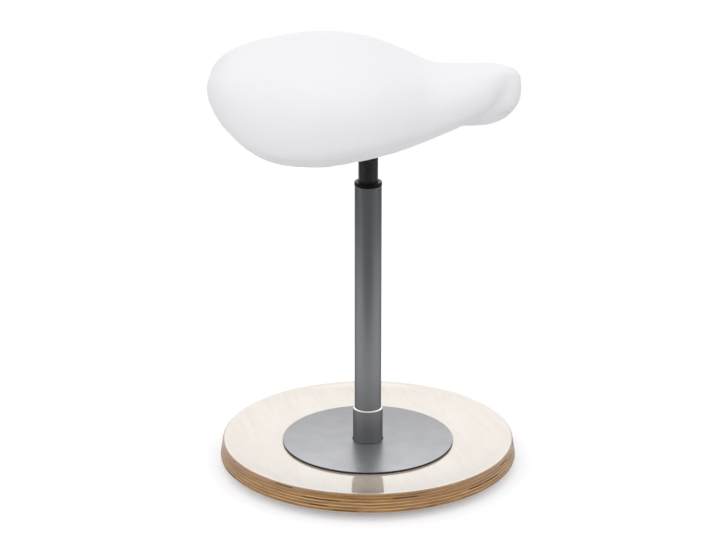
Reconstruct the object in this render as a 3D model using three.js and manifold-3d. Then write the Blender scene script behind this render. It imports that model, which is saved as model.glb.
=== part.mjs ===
// A perch stool: a dished plywood foot, a gas-lift column that turns and rises,
// and a padded saddle seat in a stretch cover.
// Millimetres, +Z up. The floor is z = 0 under the column, and +X points to the seat's nose.
import * as THREE from "three";
import { mergeVertices } from "three/addons/utils/BufferGeometryUtils.js";
import Module from "manifold-3d";

const wasm = await Module();
wasm.setup();

// Driving sizes, from the floor up.
const gap = 0.3; // left between pieces that fit into each other
const cutOverrun = 5; // how far a cutting solid runs past what it cuts
const weldDistance = 1e-4; // corners closer than this are one corner

const foot = {
  radius: 213, // at the lower edge
  thickness: 29,
  landRadius: 128, // the middle is flat up to here
  rimRise: 11, // how much higher the rim lies than the middle
  edgeLean: 3, // the upper edge is this much further in
  edgeRound: 2.5,
};
const gripPad = { radius: 95, thickness: 2, edgeRound: 0.6 };
const basePlate = { radius: 123.5, thickness: 3, edgeRound: 0.5, boreRadius: 13.5 };
const plateFixing = {
  count: 4,
  circleRadius: 80,
  shankRadius: 2.7,
  headRadius: 6,
  headHeight: 3.2,
  driveRadius: 2,
  driveDepth: 2,
  nutRadius: 5.8,
  nutHeight: 5,
  threadGap: 0.3,
};
const columnSocket = { wall: 2.05, height: 50, edgeRound: 1 };
const standTube = { radius: 19.15, wall: 2, length: 385, edgeRound: 0.5 };
const tubeEnd = { thickness: 5, boreRadius: 4.6 };
const guideBush = {
  collarRadius: 19.7,
  collarHeight: 6.2,
  collarRound: 2,
  sleeveLength: 80,
  runningGap: 0.3,
  cylinderBelow: 17.8, // how far the cylinder still reaches below the bush at full lift
};

const rod = { radius: 5, neckRadius: 4, grooveRadius: 3.2, tailLength: 9, topChamfer: 1 };
const clip = { thickness: 1.5, radius: 8, mouthWidth: 5, fromRodTail: 2 };
const endWasher = { radius: 10.5, thickness: 2.4 };
const thrustWasher = { radius: 13, thickness: 1.5 };
const bearing = { ballRadius: 2, ballCount: 8, pitchRadius: 9, cageThickness: 1.6, cageMargin: 1.2 };
const bumper = { radius: 12.5, height: 14, edgeRound: 2 };
const piston = { height: 14, grooveHeight: 3, grooveDepth: 1.4 };
const rodGuide = { height: 22, lipHeight: 3, lipRadius: 8 };
const cylinder = {
  radius: 14,
  wall: 1.5,
  capHeight: 6,
  capRound: 2.5,
  taperLength: 34,
  taperIn: 0.8,
  lowestShowing: 44.8, // shows between the bush and the taper socket when the seat is lowest
};
const valve = { housingHeight: 20, boreRadius: 3, pinRadius: 2.6, pinLength: 22, pinProud: 6 };

const bracket = {
  rearReach: 76,
  noseReach: 46,
  halfWidth: 50,
  cornerRadius: 12,
  thickness: 3,
  wellHalfLength: 24,
  wellNearReach: 26,
  wellFarReach: 46,
  wellDepth: 21,
  wellCornerRadius: 8,
};
const taperSocket = { wall: 4, length: 24 };
const lever = {
  width: 14,
  thickness: 4,
  pivotReach: 32, // from the column's axis to the pivot
  tipReach: 8, // past the column's axis
  eyeRadius: 5,
  overPin: 0.5,
  drop: 14, // how much lower the handle lies than the pivot
  bendStart: 50,
  bendEnd: 70,
  reach: 104,
};
const pivotPin = { radius: 2.5, headRadius: 4, headHeight: 1.5, lugThickness: 3, lugGap: 0.8 };
const handle = { width: 40, length: 44, thickness: 10, cornerRadius: 8, edgeRound: 2.5, overlap: 30 };

const board = {
  centre: -45,
  halfLength: 112,
  halfWidth: 146,
  thickness: 12,
  tongueHalfWidth: 18,
  tongueNoseMargin: 69, // from the tongue's end to the pad's nose
};
const bracketFixing = {
  rear: -60,
  nose: 34,
  side: 36,
  shankRadius: 3.6,
  headRadius: 7,
  headHeight: 4,
  headRound: 1.5,
  driveRadius: 2.6,
  driveDepth: 2.2,
  nutRadius: 4.8,
  nutFlangeRadius: 9,
  nutFlangeThickness: 1.5,
};
const pad = {
  rear: -222,
  length: 431,
  halfWidth: 198,
  height: 143, // from the lowest point of the skirt to the highest of the crown
  skirtDrop: 38, // how far the skirt hangs below the board
};
const cover = { thickness: 2.4, hemLap: 14 };
const hemBand = { width: 8, thickness: 1.5 };

// How finely round things are divided.
const largeRound = 56;
const tubeRound = 32;
const smallRound = 16;
const tinyRound = 10;
const ovalRound = 24;
const cornerSteps = 2;

// Colours and finishes.
const finishes = {
  paleLacqueredPly: { color: 0xeee4da, roughness: 0.22, metalness: 0 },
  barePly: { color: 0xc9a47a, roughness: 0.6, metalness: 0 },
  greyLacqueredSteel: { color: 0x8f9093, roughness: 0.38, metalness: 0.6 },
  plainSteel: { color: 0xb9bbbe, roughness: 0.35, metalness: 0.9 },
  blackPaint: { color: 0x1b1c1e, roughness: 0.35, metalness: 0.2 },
  blackPlastic: { color: 0x151618, roughness: 0.4, metalness: 0 },
  blackRubber: { color: 0x202022, roughness: 0.9, metalness: 0 },
  paleFoam: { color: 0xe9dfb8, roughness: 0.95, metalness: 0 },
  whiteKnit: { color: 0xf2f2f0, roughness: 0.9, metalness: 0 },
};

// A closed geometry as a solid that can be joined and cut.
function solid(geometry) {
  const bare = geometry.clone();
  bare.deleteAttribute("normal");
  bare.deleteAttribute("uv");
  const merged = mergeVertices(bare, weldDistance);
  const corners = merged.index.array;
  const kept = [];
  for (let i = 0; i < corners.length; i += 3) {
    const [a, b, c] = corners.slice(i, i + 3);
    if (a !== b && b !== c && c !== a) kept.push(a, b, c);
  }
  return new wasm.Manifold(
    new wasm.Mesh({
      numProp: 3,
      vertProperties: merged.attributes.position.array,
      triVerts: new Uint32Array(kept),
    }),
  );
}

// A solid back as a geometry.
function geometryOf(made) {
  const mesh = made.getMesh();
  const geometry = new THREE.BufferGeometry();
  geometry.setAttribute("position", new THREE.BufferAttribute(mesh.vertProperties, 3));
  geometry.setIndex(new THREE.BufferAttribute(mesh.triVerts, 1));
  geometry.computeVertexNormals();
  return geometry;
}

function moved(geometry, x, y, z) {
  return geometry.translate(x, y, z);
}

// A turned shape about Z. The profile's points are [radius, height], outer side upwards.
function turned(profile, steps) {
  const points = profile.map(([radius, height]) => new THREE.Vector2(radius, height));
  return new THREE.LatheGeometry(points, steps).rotateX(Math.PI / 2);
}

function turnedBar(radius, height, steps) {
  return turned([[0, 0], [radius, 0], [radius, height], [0, height]], steps);
}

function turnedTube(innerRadius, outerRadius, height, steps) {
  return turned(
    [
      [innerRadius, 0],
      [outerRadius, 0],
      [outerRadius, height],
      [innerRadius, height],
      [innerRadius, 0],
    ],
    steps,
  );
}

// A quarter round of a profile, from one angle to another about its centre.
function arc(centreRadius, centreHeight, radius, from, to, steps = cornerSteps) {
  return Array.from({ length: steps + 1 }, (_, i) => {
    const angle = from + ((to - from) * i) / steps;
    return [centreRadius + radius * Math.cos(angle), centreHeight + radius * Math.sin(angle)];
  });
}

const rightAngle = Math.PI / 2;

// A rectangle with round corners, from one corner to the other.
function roundedRectangle(lowX, lowY, highX, highY, radius) {
  const shape = new THREE.Shape();
  shape.absarc(highX - radius, lowY + radius, radius, -rightAngle, 0);
  shape.absarc(highX - radius, highY - radius, radius, 0, rightAngle);
  shape.absarc(lowX + radius, highY - radius, radius, rightAngle, 2 * rightAngle);
  shape.absarc(lowX + radius, lowY + radius, radius, 2 * rightAngle, 3 * rightAngle);
  shape.closePath();
  return shape;
}

function extruded(shape, depth, curveSegments = cornerSteps) {
  return new THREE.ExtrudeGeometry(shape, { depth, bevelEnabled: false, curveSegments });
}

// A hexagonal socket, to be cut from a screw's head.
function driveCut(radius, depth) {
  return solid(new THREE.CylinderGeometry(radius, radius, depth, 6).rotateX(rightAngle));
}

const stool = new THREE.Group();

function add(parent, name, made, finish, x = 0, y = 0, z = 0) {
  const geometry = made.isBufferGeometry ? made : geometryOf(made);
  const mesh = new THREE.Mesh(geometry, new THREE.MeshStandardMaterial(finishes[finish]));
  mesh.name = name;
  mesh.position.set(x, y, z);
  parent.add(mesh);
  return mesh;
}

// Heights above the floor at which the pieces of the column meet.
const footBottom = gripPad.thickness;
const plateBottom = footBottom + foot.thickness;
const plateTop = plateBottom + basePlate.thickness;
const discTop = plateTop + tubeEnd.thickness;
const lowerWasherTop = discTop + thrustWasher.thickness;
const ballCentre = lowerWasherTop + gap + bearing.ballRadius;
const upperWasherBottom = ballCentre + bearing.ballRadius + gap;
const upperWasherTop = upperWasherBottom + thrustWasher.thickness;
const bumperBottom = upperWasherTop + gap;
const cylinderBottom = bumperBottom + bumper.height + gap;
const rodBottom = plateTop - rod.tailLength;
const tubeTop = plateTop + standTube.length;
const guideTop = cylinderBottom + rodGuide.lipHeight + gap + rodGuide.height;
const bushBottom = tubeTop - guideBush.sleeveLength;
const liftStroke = bushBottom - guideBush.cylinderBelow - cylinderBottom;
const pistonBottom = guideTop + liftStroke + gap;
const pistonTop = pistonBottom + piston.height;

// Heights under the seat.
const taperBottom = tubeTop + guideBush.collarHeight + cylinder.lowestShowing;
const wellFloorBottom = taperBottom + taperSocket.length;
const wellFloorTop = wellFloorBottom + bracket.thickness;
const boardBottom = wellFloorBottom + bracket.wellDepth;
const boardTop = boardBottom + board.thickness;
const cylinderTop = wellFloorTop + gap;
const pinTop = cylinderTop + valve.pinProud;
const leverCentre = pinTop + lever.overPin + lever.thickness / 2;

// The rubber disc that the stool stands on, glued under the foot's flat middle.
const standing = new THREE.Group();
stool.add(standing);
add(
  standing,
  "grip_pad",
  turned(
    [
      [0, 0],
      [gripPad.radius - gripPad.edgeRound, 0],
      [gripPad.radius, gripPad.edgeRound],
      [gripPad.radius, gripPad.thickness],
      [0, gripPad.thickness],
    ],
    tubeRound,
  ),
  "blackRubber",
);

// The foot: one pressed plywood disc, flat in the middle and curved up to its rim.
const dishRun = foot.radius - foot.landRadius;
const dishRadius = (dishRun ** 2 + foot.rimRise ** 2) / (2 * foot.rimRise);

function dishHeight(radius) {
  const run = Math.max(radius - foot.landRadius, 0);
  return dishRadius - Math.sqrt(dishRadius ** 2 - run ** 2);
}

function dishedLine(fromRadius, toRadius, height, steps) {
  return Array.from({ length: steps + 1 }, (_, i) => {
    const radius = fromRadius + ((toRadius - fromRadius) * i) / steps;
    return [radius, height + dishHeight(radius)];
  });
}

function plywoodFoot() {
  const dishSteps = 5;
  const upperRadius = foot.radius - foot.edgeLean;
  const lowerRim = dishHeight(foot.radius);
  const upperRim = foot.thickness + dishHeight(upperRadius);
  const round = foot.edgeRound;
  const disc = solid(
    turned(
      [
        [0, 0],
        ...dishedLine(foot.landRadius, foot.radius - round, 0, dishSteps),
        ...arc(foot.radius - round, lowerRim + round, round, -rightAngle / 2, 0),
        ...arc(upperRadius - round, upperRim - round, round, 0, rightAngle),
        ...dishedLine(upperRadius - 2 * round, foot.landRadius, foot.thickness, dishSteps),
        [0, foot.thickness],
      ],
      largeRound,
    ),
  );
  const height = foot.thickness + 2 * cutOverrun;
  let made = disc.subtract(
    solid(moved(turnedBar(basePlate.boreRadius + gap, height, tubeRound), 0, 0, -cutOverrun)),
  );
  plateFixingPlaces().forEach(([x, y]) => {
    const hole = turnedBar(plateFixing.shankRadius + gap, height, smallRound);
    made = made.subtract(solid(moved(hole, x, y, -cutOverrun)));
    const sinkDepth = plateFixing.headHeight + 2 * gap;
    const sink = turnedBar(plateFixing.headRadius + gap, sinkDepth + cutOverrun, smallRound);
    made = made.subtract(solid(moved(sink, x, y, -cutOverrun)));
    const nutDepth = plateFixing.nutHeight + gap;
    const nutSeat = turnedBar(plateFixing.nutRadius + gap, nutDepth + cutOverrun, smallRound);
    made = made.subtract(solid(moved(nutSeat, x, y, foot.thickness - nutDepth)));
  });
  return made;
}

function plateFixingPlaces() {
  return Array.from({ length: plateFixing.count }, (_, i) => {
    const angle = ((i + 1 / 2) * 2 * Math.PI) / plateFixing.count;
    return [plateFixing.circleRadius * Math.cos(angle), plateFixing.circleRadius * Math.sin(angle)];
  });
}

add(standing, "plywood_foot", plywoodFoot(), "paleLacqueredPly", 0, 0, footBottom);

// The steel plate on the foot, held from below by screws in nuts that are welded under it.
add(
  standing,
  "base_plate",
  turned(
    [
      [basePlate.boreRadius, 0],
      [basePlate.radius, 0],
      [basePlate.radius, basePlate.thickness - basePlate.edgeRound],
      [basePlate.radius - basePlate.edgeRound, basePlate.thickness],
      [basePlate.boreRadius, basePlate.thickness],
      [basePlate.boreRadius, 0],
    ],
    largeRound,
  ),
  "greyLacqueredSteel",
  0,
  0,
  plateBottom,
);

function weldNut() {
  const body = new THREE.CylinderGeometry(
    plateFixing.nutRadius,
    plateFixing.nutRadius,
    plateFixing.nutHeight,
    6,
  ).rotateX(rightAngle);
  const bore = turnedBar(
    plateFixing.shankRadius + plateFixing.threadGap,
    plateFixing.nutHeight + 2 * cutOverrun,
    tinyRound,
  );
  const nut = solid(moved(body, 0, 0, plateFixing.nutHeight / 2));
  return nut.subtract(solid(moved(bore, 0, 0, -cutOverrun)));
}

function plateScrew() {
  const height = foot.thickness - 2 * gap;
  const body = solid(
    turned(
      [
        [0, 0],
        [plateFixing.headRadius, 0],
        [plateFixing.shankRadius, plateFixing.headHeight],
        [plateFixing.shankRadius, height],
        [0, height],
      ],
      tinyRound,
    ),
  );
  return body.subtract(driveCut(plateFixing.driveRadius, 2 * plateFixing.driveDepth));
}

plateFixingPlaces().forEach(([x, y], i) => {
  const nutBottom = plateBottom - plateFixing.nutHeight;
  add(standing, `weld_nut_${i + 1}`, weldNut(), "plainSteel", x, y, nutBottom);
  add(standing, `plate_screw_${i + 1}`, plateScrew(), "plainSteel", x, y, footBottom + gap);
});

// The socket that is welded to the plate, and the stand tube that is fixed in it.
const socketInner = standTube.radius + gap;
const socketOuter = socketInner + columnSocket.wall;
add(
  standing,
  "column_socket",
  turned(
    [
      [socketInner, 0],
      [socketOuter, 0],
      ...arc(
        socketOuter - columnSocket.edgeRound,
        columnSocket.height - columnSocket.edgeRound,
        columnSocket.edgeRound,
        0,
        rightAngle,
      ),
      [socketInner, columnSocket.height],
      [socketInner, 0],
    ],
    tubeRound,
  ),
  "greyLacqueredSteel",
  0,
  0,
  plateTop,
);

const tubeInner = standTube.radius - standTube.wall;
add(
  standing,
  "stand_tube",
  turned(
    [
      [tubeInner, 0],
      [standTube.radius, 0],
      [standTube.radius, standTube.length - standTube.edgeRound],
      [standTube.radius - standTube.edgeRound, standTube.length],
      [tubeInner, standTube.length],
      [tubeInner, 0],
    ],
    tubeRound,
  ),
  "greyLacqueredSteel",
  0,
  0,
  plateTop,
);

add(
  standing,
  "tube_end_disc",
  turnedTube(tubeEnd.boreRadius, tubeInner - gap, tubeEnd.thickness, tubeRound),
  "plainSteel",
  0,
  0,
  plateTop,
);

// The plastic bush in the tube's mouth, with the collar that shows above the tube.
add(
  standing,
  "guide_bush",
  turned(
    [
      [cylinder.radius + guideBush.runningGap, -guideBush.sleeveLength],
      [tubeInner - gap, -guideBush.sleeveLength],
      [tubeInner - gap, 0],
      [guideBush.collarRadius, 0],
      ...arc(
        guideBush.collarRadius - guideBush.collarRound,
        guideBush.collarHeight - guideBush.collarRound,
        guideBush.collarRound,
        0,
        rightAngle,
      ),
      [cylinder.radius + guideBush.runningGap, guideBush.collarHeight],
      [cylinder.radius + guideBush.runningGap, -guideBush.sleeveLength],
    ],
    tubeRound,
  ),
  "blackPlastic",
  0,
  0,
  tubeTop,
);

// The thrust bearing that the piston rod turns on, and what holds the rod in the tube's end.
add(
  standing,
  "lower_thrust_washer",
  turnedTube(rod.neckRadius + gap, thrustWasher.radius, thrustWasher.thickness, smallRound),
  "plainSteel",
  0,
  0,
  discTop,
);

const ballPocketRadius = bearing.ballRadius + gap;

function bearingCage() {
  const inner = bearing.pitchRadius - ballPocketRadius - bearing.cageMargin;
  const outer = bearing.pitchRadius + ballPocketRadius + bearing.cageMargin;
  const ring = solid(turnedTube(inner, outer, bearing.cageThickness, tubeRound));
  return ballPlaces().reduce((made, [x, y]) => {
    const hole = turnedBar(ballPocketRadius, bearing.cageThickness + 2 * cutOverrun, tinyRound);
    return made.subtract(solid(moved(hole, x, y, -cutOverrun)));
  }, ring);
}

function ballPlaces() {
  return Array.from({ length: bearing.ballCount }, (_, i) => {
    const angle = (i * 2 * Math.PI) / bearing.ballCount;
    return [bearing.pitchRadius * Math.cos(angle), bearing.pitchRadius * Math.sin(angle)];
  });
}

const cageBottom = ballCentre - bearing.cageThickness / 2;
add(standing, "bearing_cage", bearingCage(), "blackPlastic", 0, 0, cageBottom);
ballPlaces().forEach(([x, y], i) => {
  const ball = new THREE.SphereGeometry(bearing.ballRadius, tinyRound, tinyRound / 2);
  add(standing, `bearing_ball_${i + 1}`, solid(ball), "plainSteel", x, y, ballCentre);
});

// What turns with the seat but doesn't rise: the piston rod and the pieces on it.
const turning = new THREE.Group();
stool.add(turning);

function pistonRod() {
  const neckTop = bumperBottom - rodBottom;
  const grooveBottom = clip.fromRodTail - gap;
  const grooveTop = grooveBottom + clip.thickness + 2 * gap;
  const top = pistonTop - rodBottom;
  return turned(
    [
      [0, 0],
      [rod.neckRadius, 0],
      [rod.neckRadius, grooveBottom],
      [rod.grooveRadius, grooveBottom],
      [rod.grooveRadius, grooveTop],
      [rod.neckRadius, grooveTop],
      [rod.neckRadius, neckTop],
      [rod.radius, neckTop],
      [rod.radius, top - rod.topChamfer],
      [rod.radius - rod.topChamfer, top],
      [0, top],
    ],
    smallRound,
  );
}

function retainingClip() {
  const inner = rod.grooveRadius + gap;
  const ring = solid(turnedTube(inner, clip.radius, clip.thickness, smallRound));
  const reach = clip.radius + cutOverrun;
  const mouth = new THREE.BoxGeometry(reach, clip.mouthWidth, clip.thickness + 2 * cutOverrun);
  return ring.subtract(solid(moved(mouth, reach / 2, 0, 0)));
}

add(turning, "piston_rod", pistonRod(), "plainSteel", 0, 0, rodBottom);
add(turning, "retaining_clip", retainingClip(), "plainSteel", 0, 0, rodBottom + clip.fromRodTail);
add(
  turning,
  "end_washer",
  turnedTube(rod.neckRadius + gap, endWasher.radius, endWasher.thickness, smallRound),
  "plainSteel",
  0,
  0,
  plateTop - gap - endWasher.thickness,
);
add(
  turning,
  "upper_thrust_washer",
  turnedTube(rod.neckRadius + gap, thrustWasher.radius, thrustWasher.thickness, smallRound),
  "plainSteel",
  0,
  0,
  upperWasherBottom,
);
add(
  turning,
  "rubber_bumper",
  turned(
    [
      [rod.radius + gap, 0],
      [bumper.radius, 0],
      ...arc(
        bumper.radius - bumper.edgeRound,
        bumper.height - bumper.edgeRound,
        bumper.edgeRound,
        0,
        rightAngle,
      ),
      [rod.radius + gap, bumper.height],
      [rod.radius + gap, 0],
    ],
    smallRound,
  ),
  "blackRubber",
  0,
  0,
  bumperBottom,
);

const cylinderInner = cylinder.radius - cylinder.wall;
const pistonRadius = cylinderInner - gap;
const pistonGrooveBottom = (piston.height - piston.grooveHeight) / 2;
add(
  turning,
  "piston",
  turned(
    [
      [rod.radius + gap, 0],
      [pistonRadius, 0],
      [pistonRadius, pistonGrooveBottom],
      [pistonRadius - piston.grooveDepth, pistonGrooveBottom],
      [pistonRadius - piston.grooveDepth, pistonGrooveBottom + piston.grooveHeight],
      [pistonRadius, pistonGrooveBottom + piston.grooveHeight],
      [pistonRadius, piston.height - rod.topChamfer],
      [rod.radius + gap, piston.height - rod.topChamfer],
      [rod.radius + gap, 0],
    ],
    smallRound,
  ),
  "plainSteel",
  0,
  0,
  pistonBottom,
);

// What rises: the gas spring's cylinder with the seat on top.
const rising = new THREE.Group();
stool.add(rising);

const cylinderLength = cylinderTop - cylinderBottom;
const cylinderTopRadius = cylinder.radius - cylinder.taperIn;
add(
  rising,
  "gas_cylinder",
  turned(
    [
      [rodGuide.lipRadius, 0],
      [cylinder.radius - cylinder.wall, 0],
      [cylinder.radius, cylinder.wall],
      [cylinder.radius, cylinderLength - cylinder.taperLength],
      ...arc(
        cylinderTopRadius - cylinder.capRound,
        cylinderLength - cylinder.capRound,
        cylinder.capRound,
        0,
        rightAngle,
      ),
      [valve.boreRadius, cylinderLength],
      [valve.boreRadius, cylinderLength - cylinder.capHeight],
      [cylinderInner - cylinder.taperIn, cylinderLength - cylinder.capHeight],
      [cylinderInner, cylinderLength - cylinder.taperLength],
      [cylinderInner, rodGuide.lipHeight],
      [rodGuide.lipRadius, rodGuide.lipHeight],
      [rodGuide.lipRadius, 0],
    ],
    tubeRound,
  ),
  "blackPaint",
  0,
  0,
  cylinderBottom,
);
add(
  rising,
  "rod_guide_seal",
  turnedTube(rod.radius + gap, cylinderInner - gap, rodGuide.height, smallRound),
  "blackPlastic",
  0,
  0,
  cylinderBottom + rodGuide.lipHeight + gap,
);
const housingRadius = cylinderInner - cylinder.taperIn - gap;
const housingTop = cylinderTop - cylinder.capHeight - gap;
add(
  rising,
  "valve_housing",
  turnedTube(valve.boreRadius, housingRadius, valve.housingHeight, smallRound),
  "plainSteel",
  0,
  0,
  housingTop - valve.housingHeight,
);

// The valve's pin, which the lever pushes down.
const pushed = new THREE.Group();
stool.add(pushed);
add(
  pushed,
  "valve_pin",
  turnedBar(valve.pinRadius, valve.pinLength, tinyRound),
  "plainSteel",
  0,
  0,
  pinTop - valve.pinLength,
);

// The pressed bracket under the board: a flange with a well, which the taper socket is welded under.
const fixingPlaces = [
  [bracketFixing.rear, -bracketFixing.side],
  [bracketFixing.nose, -bracketFixing.side],
  [bracketFixing.nose, bracketFixing.side],
  [bracketFixing.rear, bracketFixing.side],
];
const pivotHeight = leverCentre - wellFloorBottom;
const lugInner = lever.width / 2 + pivotPin.lugGap;

function seatBracket() {
  const flangeBottom = bracket.wellDepth - bracket.thickness;
  const flange = extruded(
    roundedRectangle(
      -bracket.rearReach,
      -bracket.halfWidth,
      bracket.noseReach,
      bracket.halfWidth,
      bracket.cornerRadius,
    ),
    bracket.thickness,
  );
  const wellOuter = roundedRectangle(
    -bracket.wellHalfLength,
    -bracket.wellNearReach,
    bracket.wellHalfLength,
    bracket.wellFarReach,
    bracket.wellCornerRadius,
  );
  const wellInner = roundedRectangle(
    bracket.thickness - bracket.wellHalfLength,
    bracket.thickness - bracket.wellNearReach,
    bracket.wellHalfLength - bracket.thickness,
    bracket.wellFarReach - bracket.thickness,
    bracket.wellCornerRadius - bracket.thickness,
  );
  const hollow = moved(extruded(wellInner, bracket.wellDepth + cutOverrun), 0, 0, bracket.thickness);
  let made = solid(moved(flange, 0, 0, flangeBottom))
    .add(solid(extruded(wellOuter, bracket.wellDepth)))
    .subtract(solid(hollow));
  // two lugs that hold the lever's pin
  for (const side of [-1, 1]) {
    const lug = new THREE.BoxGeometry(
      pivotPin.lugThickness,
      2 * lever.eyeRadius + bracket.thickness,
      pivotHeight + lever.eyeRadius - bracket.thickness / 2,
    );
    const x = side * (lugInner + pivotPin.lugThickness / 2);
    const z = (pivotHeight + lever.eyeRadius + bracket.thickness / 2) / 2;
    made = made.add(solid(moved(lug, x, lever.pivotReach, z)));
  }
  const pinHole = new THREE.CylinderGeometry(
    pivotPin.radius + gap,
    pivotPin.radius + gap,
    4 * lugInner,
    smallRound,
  ).rotateZ(rightAngle);
  made = made.subtract(solid(moved(pinHole, 0, lever.pivotReach, pivotHeight)));
  // the mouth that the lever swings in
  const mouth = new THREE.BoxGeometry(
    lever.width + 2 * pivotPin.lugGap,
    2 * bracket.thickness + cutOverrun,
    bracket.wellDepth - 2 * bracket.thickness,
  );
  made = made.subtract(solid(moved(mouth, 0, bracket.wellFarReach, bracket.wellDepth / 2)));
  const throat = turnedBar(cylinderTopRadius + gap, bracket.wellDepth, tubeRound);
  made = made.subtract(solid(moved(throat, 0, 0, -cutOverrun)));
  fixingPlaces.forEach(([x, y]) => {
    const depth = bracket.thickness + 2 * cutOverrun;
    const hole = turnedBar(bracketFixing.shankRadius + gap, depth, tinyRound);
    made = made.subtract(solid(moved(hole, x, y, flangeBottom - cutOverrun)));
  });
  return made;
}

add(rising, "seat_bracket", seatBracket(), "blackPaint", 0, 0, wellFloorBottom);

// The inside of the socket follows the cylinder's taper.
const taperSlope = cylinder.taperIn / (cylinder.taperLength - cylinder.capRound);
const taperDepth = taperSocket.length + bracket.thickness + gap - cylinder.capRound;
const socketBottomInner = cylinderTopRadius + gap + taperSlope * taperDepth;
const taperOuter = cylinder.radius + taperSocket.wall;
add(
  rising,
  "taper_socket",
  turned(
    [
      [socketBottomInner, 0],
      [taperOuter, 0],
      [taperOuter, taperSocket.length],
      [cylinderTopRadius + 2 * gap, taperSocket.length],
      [socketBottomInner, 0],
    ],
    tubeRound,
  ),
  "blackPaint",
  0,
  0,
  taperBottom,
);
add(
  rising,
  "lever_pivot_pin",
  turned(
    [
      [0, 0],
      [pivotPin.headRadius, 0],
      [pivotPin.headRadius, pivotPin.headHeight],
      [pivotPin.radius, pivotPin.headHeight],
      [pivotPin.radius, pivotPin.headHeight + 2 * (lugInner + pivotPin.lugThickness + gap)],
      [0, pivotPin.headHeight + 2 * (lugInner + pivotPin.lugThickness + gap)],
    ],
    smallRound,
  ).rotateY(rightAngle),
  "plainSteel",
  -(lugInner + pivotPin.lugThickness + gap + pivotPin.headHeight),
  lever.pivotReach,
  leverCentre,
);

// The lever: a cranked steel strip with an eye for its pin and a plastic handle.
const levering = new THREE.Group();
levering.position.set(0, lever.pivotReach, leverCentre);
stool.add(levering);

// Runs along Y from the pivot, and stands across X.
function stripOutline(grow) {
  const half = lever.thickness / 2 + grow;
  const inner = -(lever.pivotReach + lever.tipReach);
  const bendStart = lever.bendStart - lever.pivotReach;
  const bendEnd = lever.bendEnd - lever.pivotReach;
  const outer = lever.reach - lever.pivotReach + grow;
  const shape = new THREE.Shape();
  shape.moveTo(inner, -half);
  shape.lineTo(bendStart, -half);
  shape.lineTo(bendEnd, -lever.drop - half);
  shape.lineTo(outer, -lever.drop - half);
  shape.lineTo(outer, -lever.drop + half);
  shape.lineTo(bendEnd, -lever.drop + half);
  shape.lineTo(bendStart, half);
  shape.lineTo(inner, half);
  shape.closePath();
  return shape;
}

// Turns a shape drawn in Y and Z into a slab across X.
function acrossX(shape, width) {
  const slab = extruded(shape, width);
  slab.applyMatrix4(new THREE.Matrix4().makeBasis(
    new THREE.Vector3(0, 1, 0),
    new THREE.Vector3(0, 0, 1),
    new THREE.Vector3(1, 0, 0),
  ));
  return moved(slab, -width / 2, 0, 0);
}

function barAcross(radius, width) {
  return new THREE.CylinderGeometry(radius, radius, width, smallRound).rotateZ(rightAngle);
}

const releaseLever = solid(acrossX(stripOutline(0), lever.width))
  .add(solid(barAcross(lever.eyeRadius, lever.width)))
  .subtract(solid(barAcross(pivotPin.radius + gap, lever.width + 2 * cutOverrun)));
add(levering, "release_lever", releaseLever, "plainSteel");

function leverHandle() {
  const start = lever.reach - lever.pivotReach - handle.overlap;
  const outline = roundedRectangle(
    -handle.width / 2,
    start,
    handle.width / 2,
    start + handle.length,
    handle.cornerRadius,
  );
  const grip = new THREE.ExtrudeGeometry(outline, {
    depth: handle.thickness - 2 * handle.edgeRound,
    bevelThickness: handle.edgeRound,
    bevelSize: handle.edgeRound,
    bevelOffset: -handle.edgeRound,
    bevelSegments: 2,
    curveSegments: cornerSteps,
  });
  const lowest = handle.edgeRound - handle.thickness / 2 - lever.drop;
  const slot = acrossX(stripOutline(gap), lever.width + 2 * gap);
  return solid(moved(grip, 0, 0, lowest)).subtract(solid(slot));
}

add(levering, "lever_handle", leverHandle(), "blackPlastic");

// The seat board: an oval of plywood with a tongue into the nose.
function boardOval(inset) {
  const squareness = 2.3;
  const power = 2 / squareness;
  const steps = ovalRound;
  const points = Array.from({ length: steps }, (_, i) => {
    const angle = (2 * Math.PI * (i + 1 / 2)) / steps;
    const across = Math.sign(Math.sin(angle)) * Math.abs(Math.sin(angle)) ** power;
    const along = Math.sign(Math.cos(angle)) * Math.abs(Math.cos(angle)) ** power;
    return new THREE.Vector2(
      board.centre + (board.halfLength - inset) * along,
      (board.halfWidth - inset) * across,
    );
  });
  return new THREE.Shape(points);
}

// An upright block of the oval between two heights.
function ovalBlock(inset, low, high) {
  return solid(moved(extruded(boardOval(inset), high - low), 0, 0, low));
}

function tongueBlock(grow, low, high) {
  const outline = roundedRectangle(
    board.centre,
    -board.tongueHalfWidth - grow,
    pad.rear + pad.length - board.tongueNoseMargin + grow,
    board.tongueHalfWidth + grow,
    board.tongueHalfWidth,
  );
  return solid(moved(extruded(outline, high - low, 2 * cornerSteps), 0, 0, low));
}

function seatBoard() {
  let made = ovalBlock(0, 0, board.thickness).add(tongueBlock(0, 0, board.thickness));
  fixingPlaces.forEach(([x, y]) => {
    const depth = board.thickness + 2 * cutOverrun;
    const hole = turnedBar(bracketFixing.nutRadius + gap, depth, smallRound);
    made = made.subtract(solid(moved(hole, x, y, -cutOverrun)));
    const seatDepth = bracketFixing.nutFlangeThickness + gap;
    const seat = turnedBar(bracketFixing.nutFlangeRadius + gap, seatDepth + cutOverrun, smallRound);
    made = made.subtract(solid(moved(seat, x, y, board.thickness - seatDepth)));
  });
  return made;
}

add(rising, "seat_board", seatBoard(), "barePly", 0, 0, boardBottom);

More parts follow.
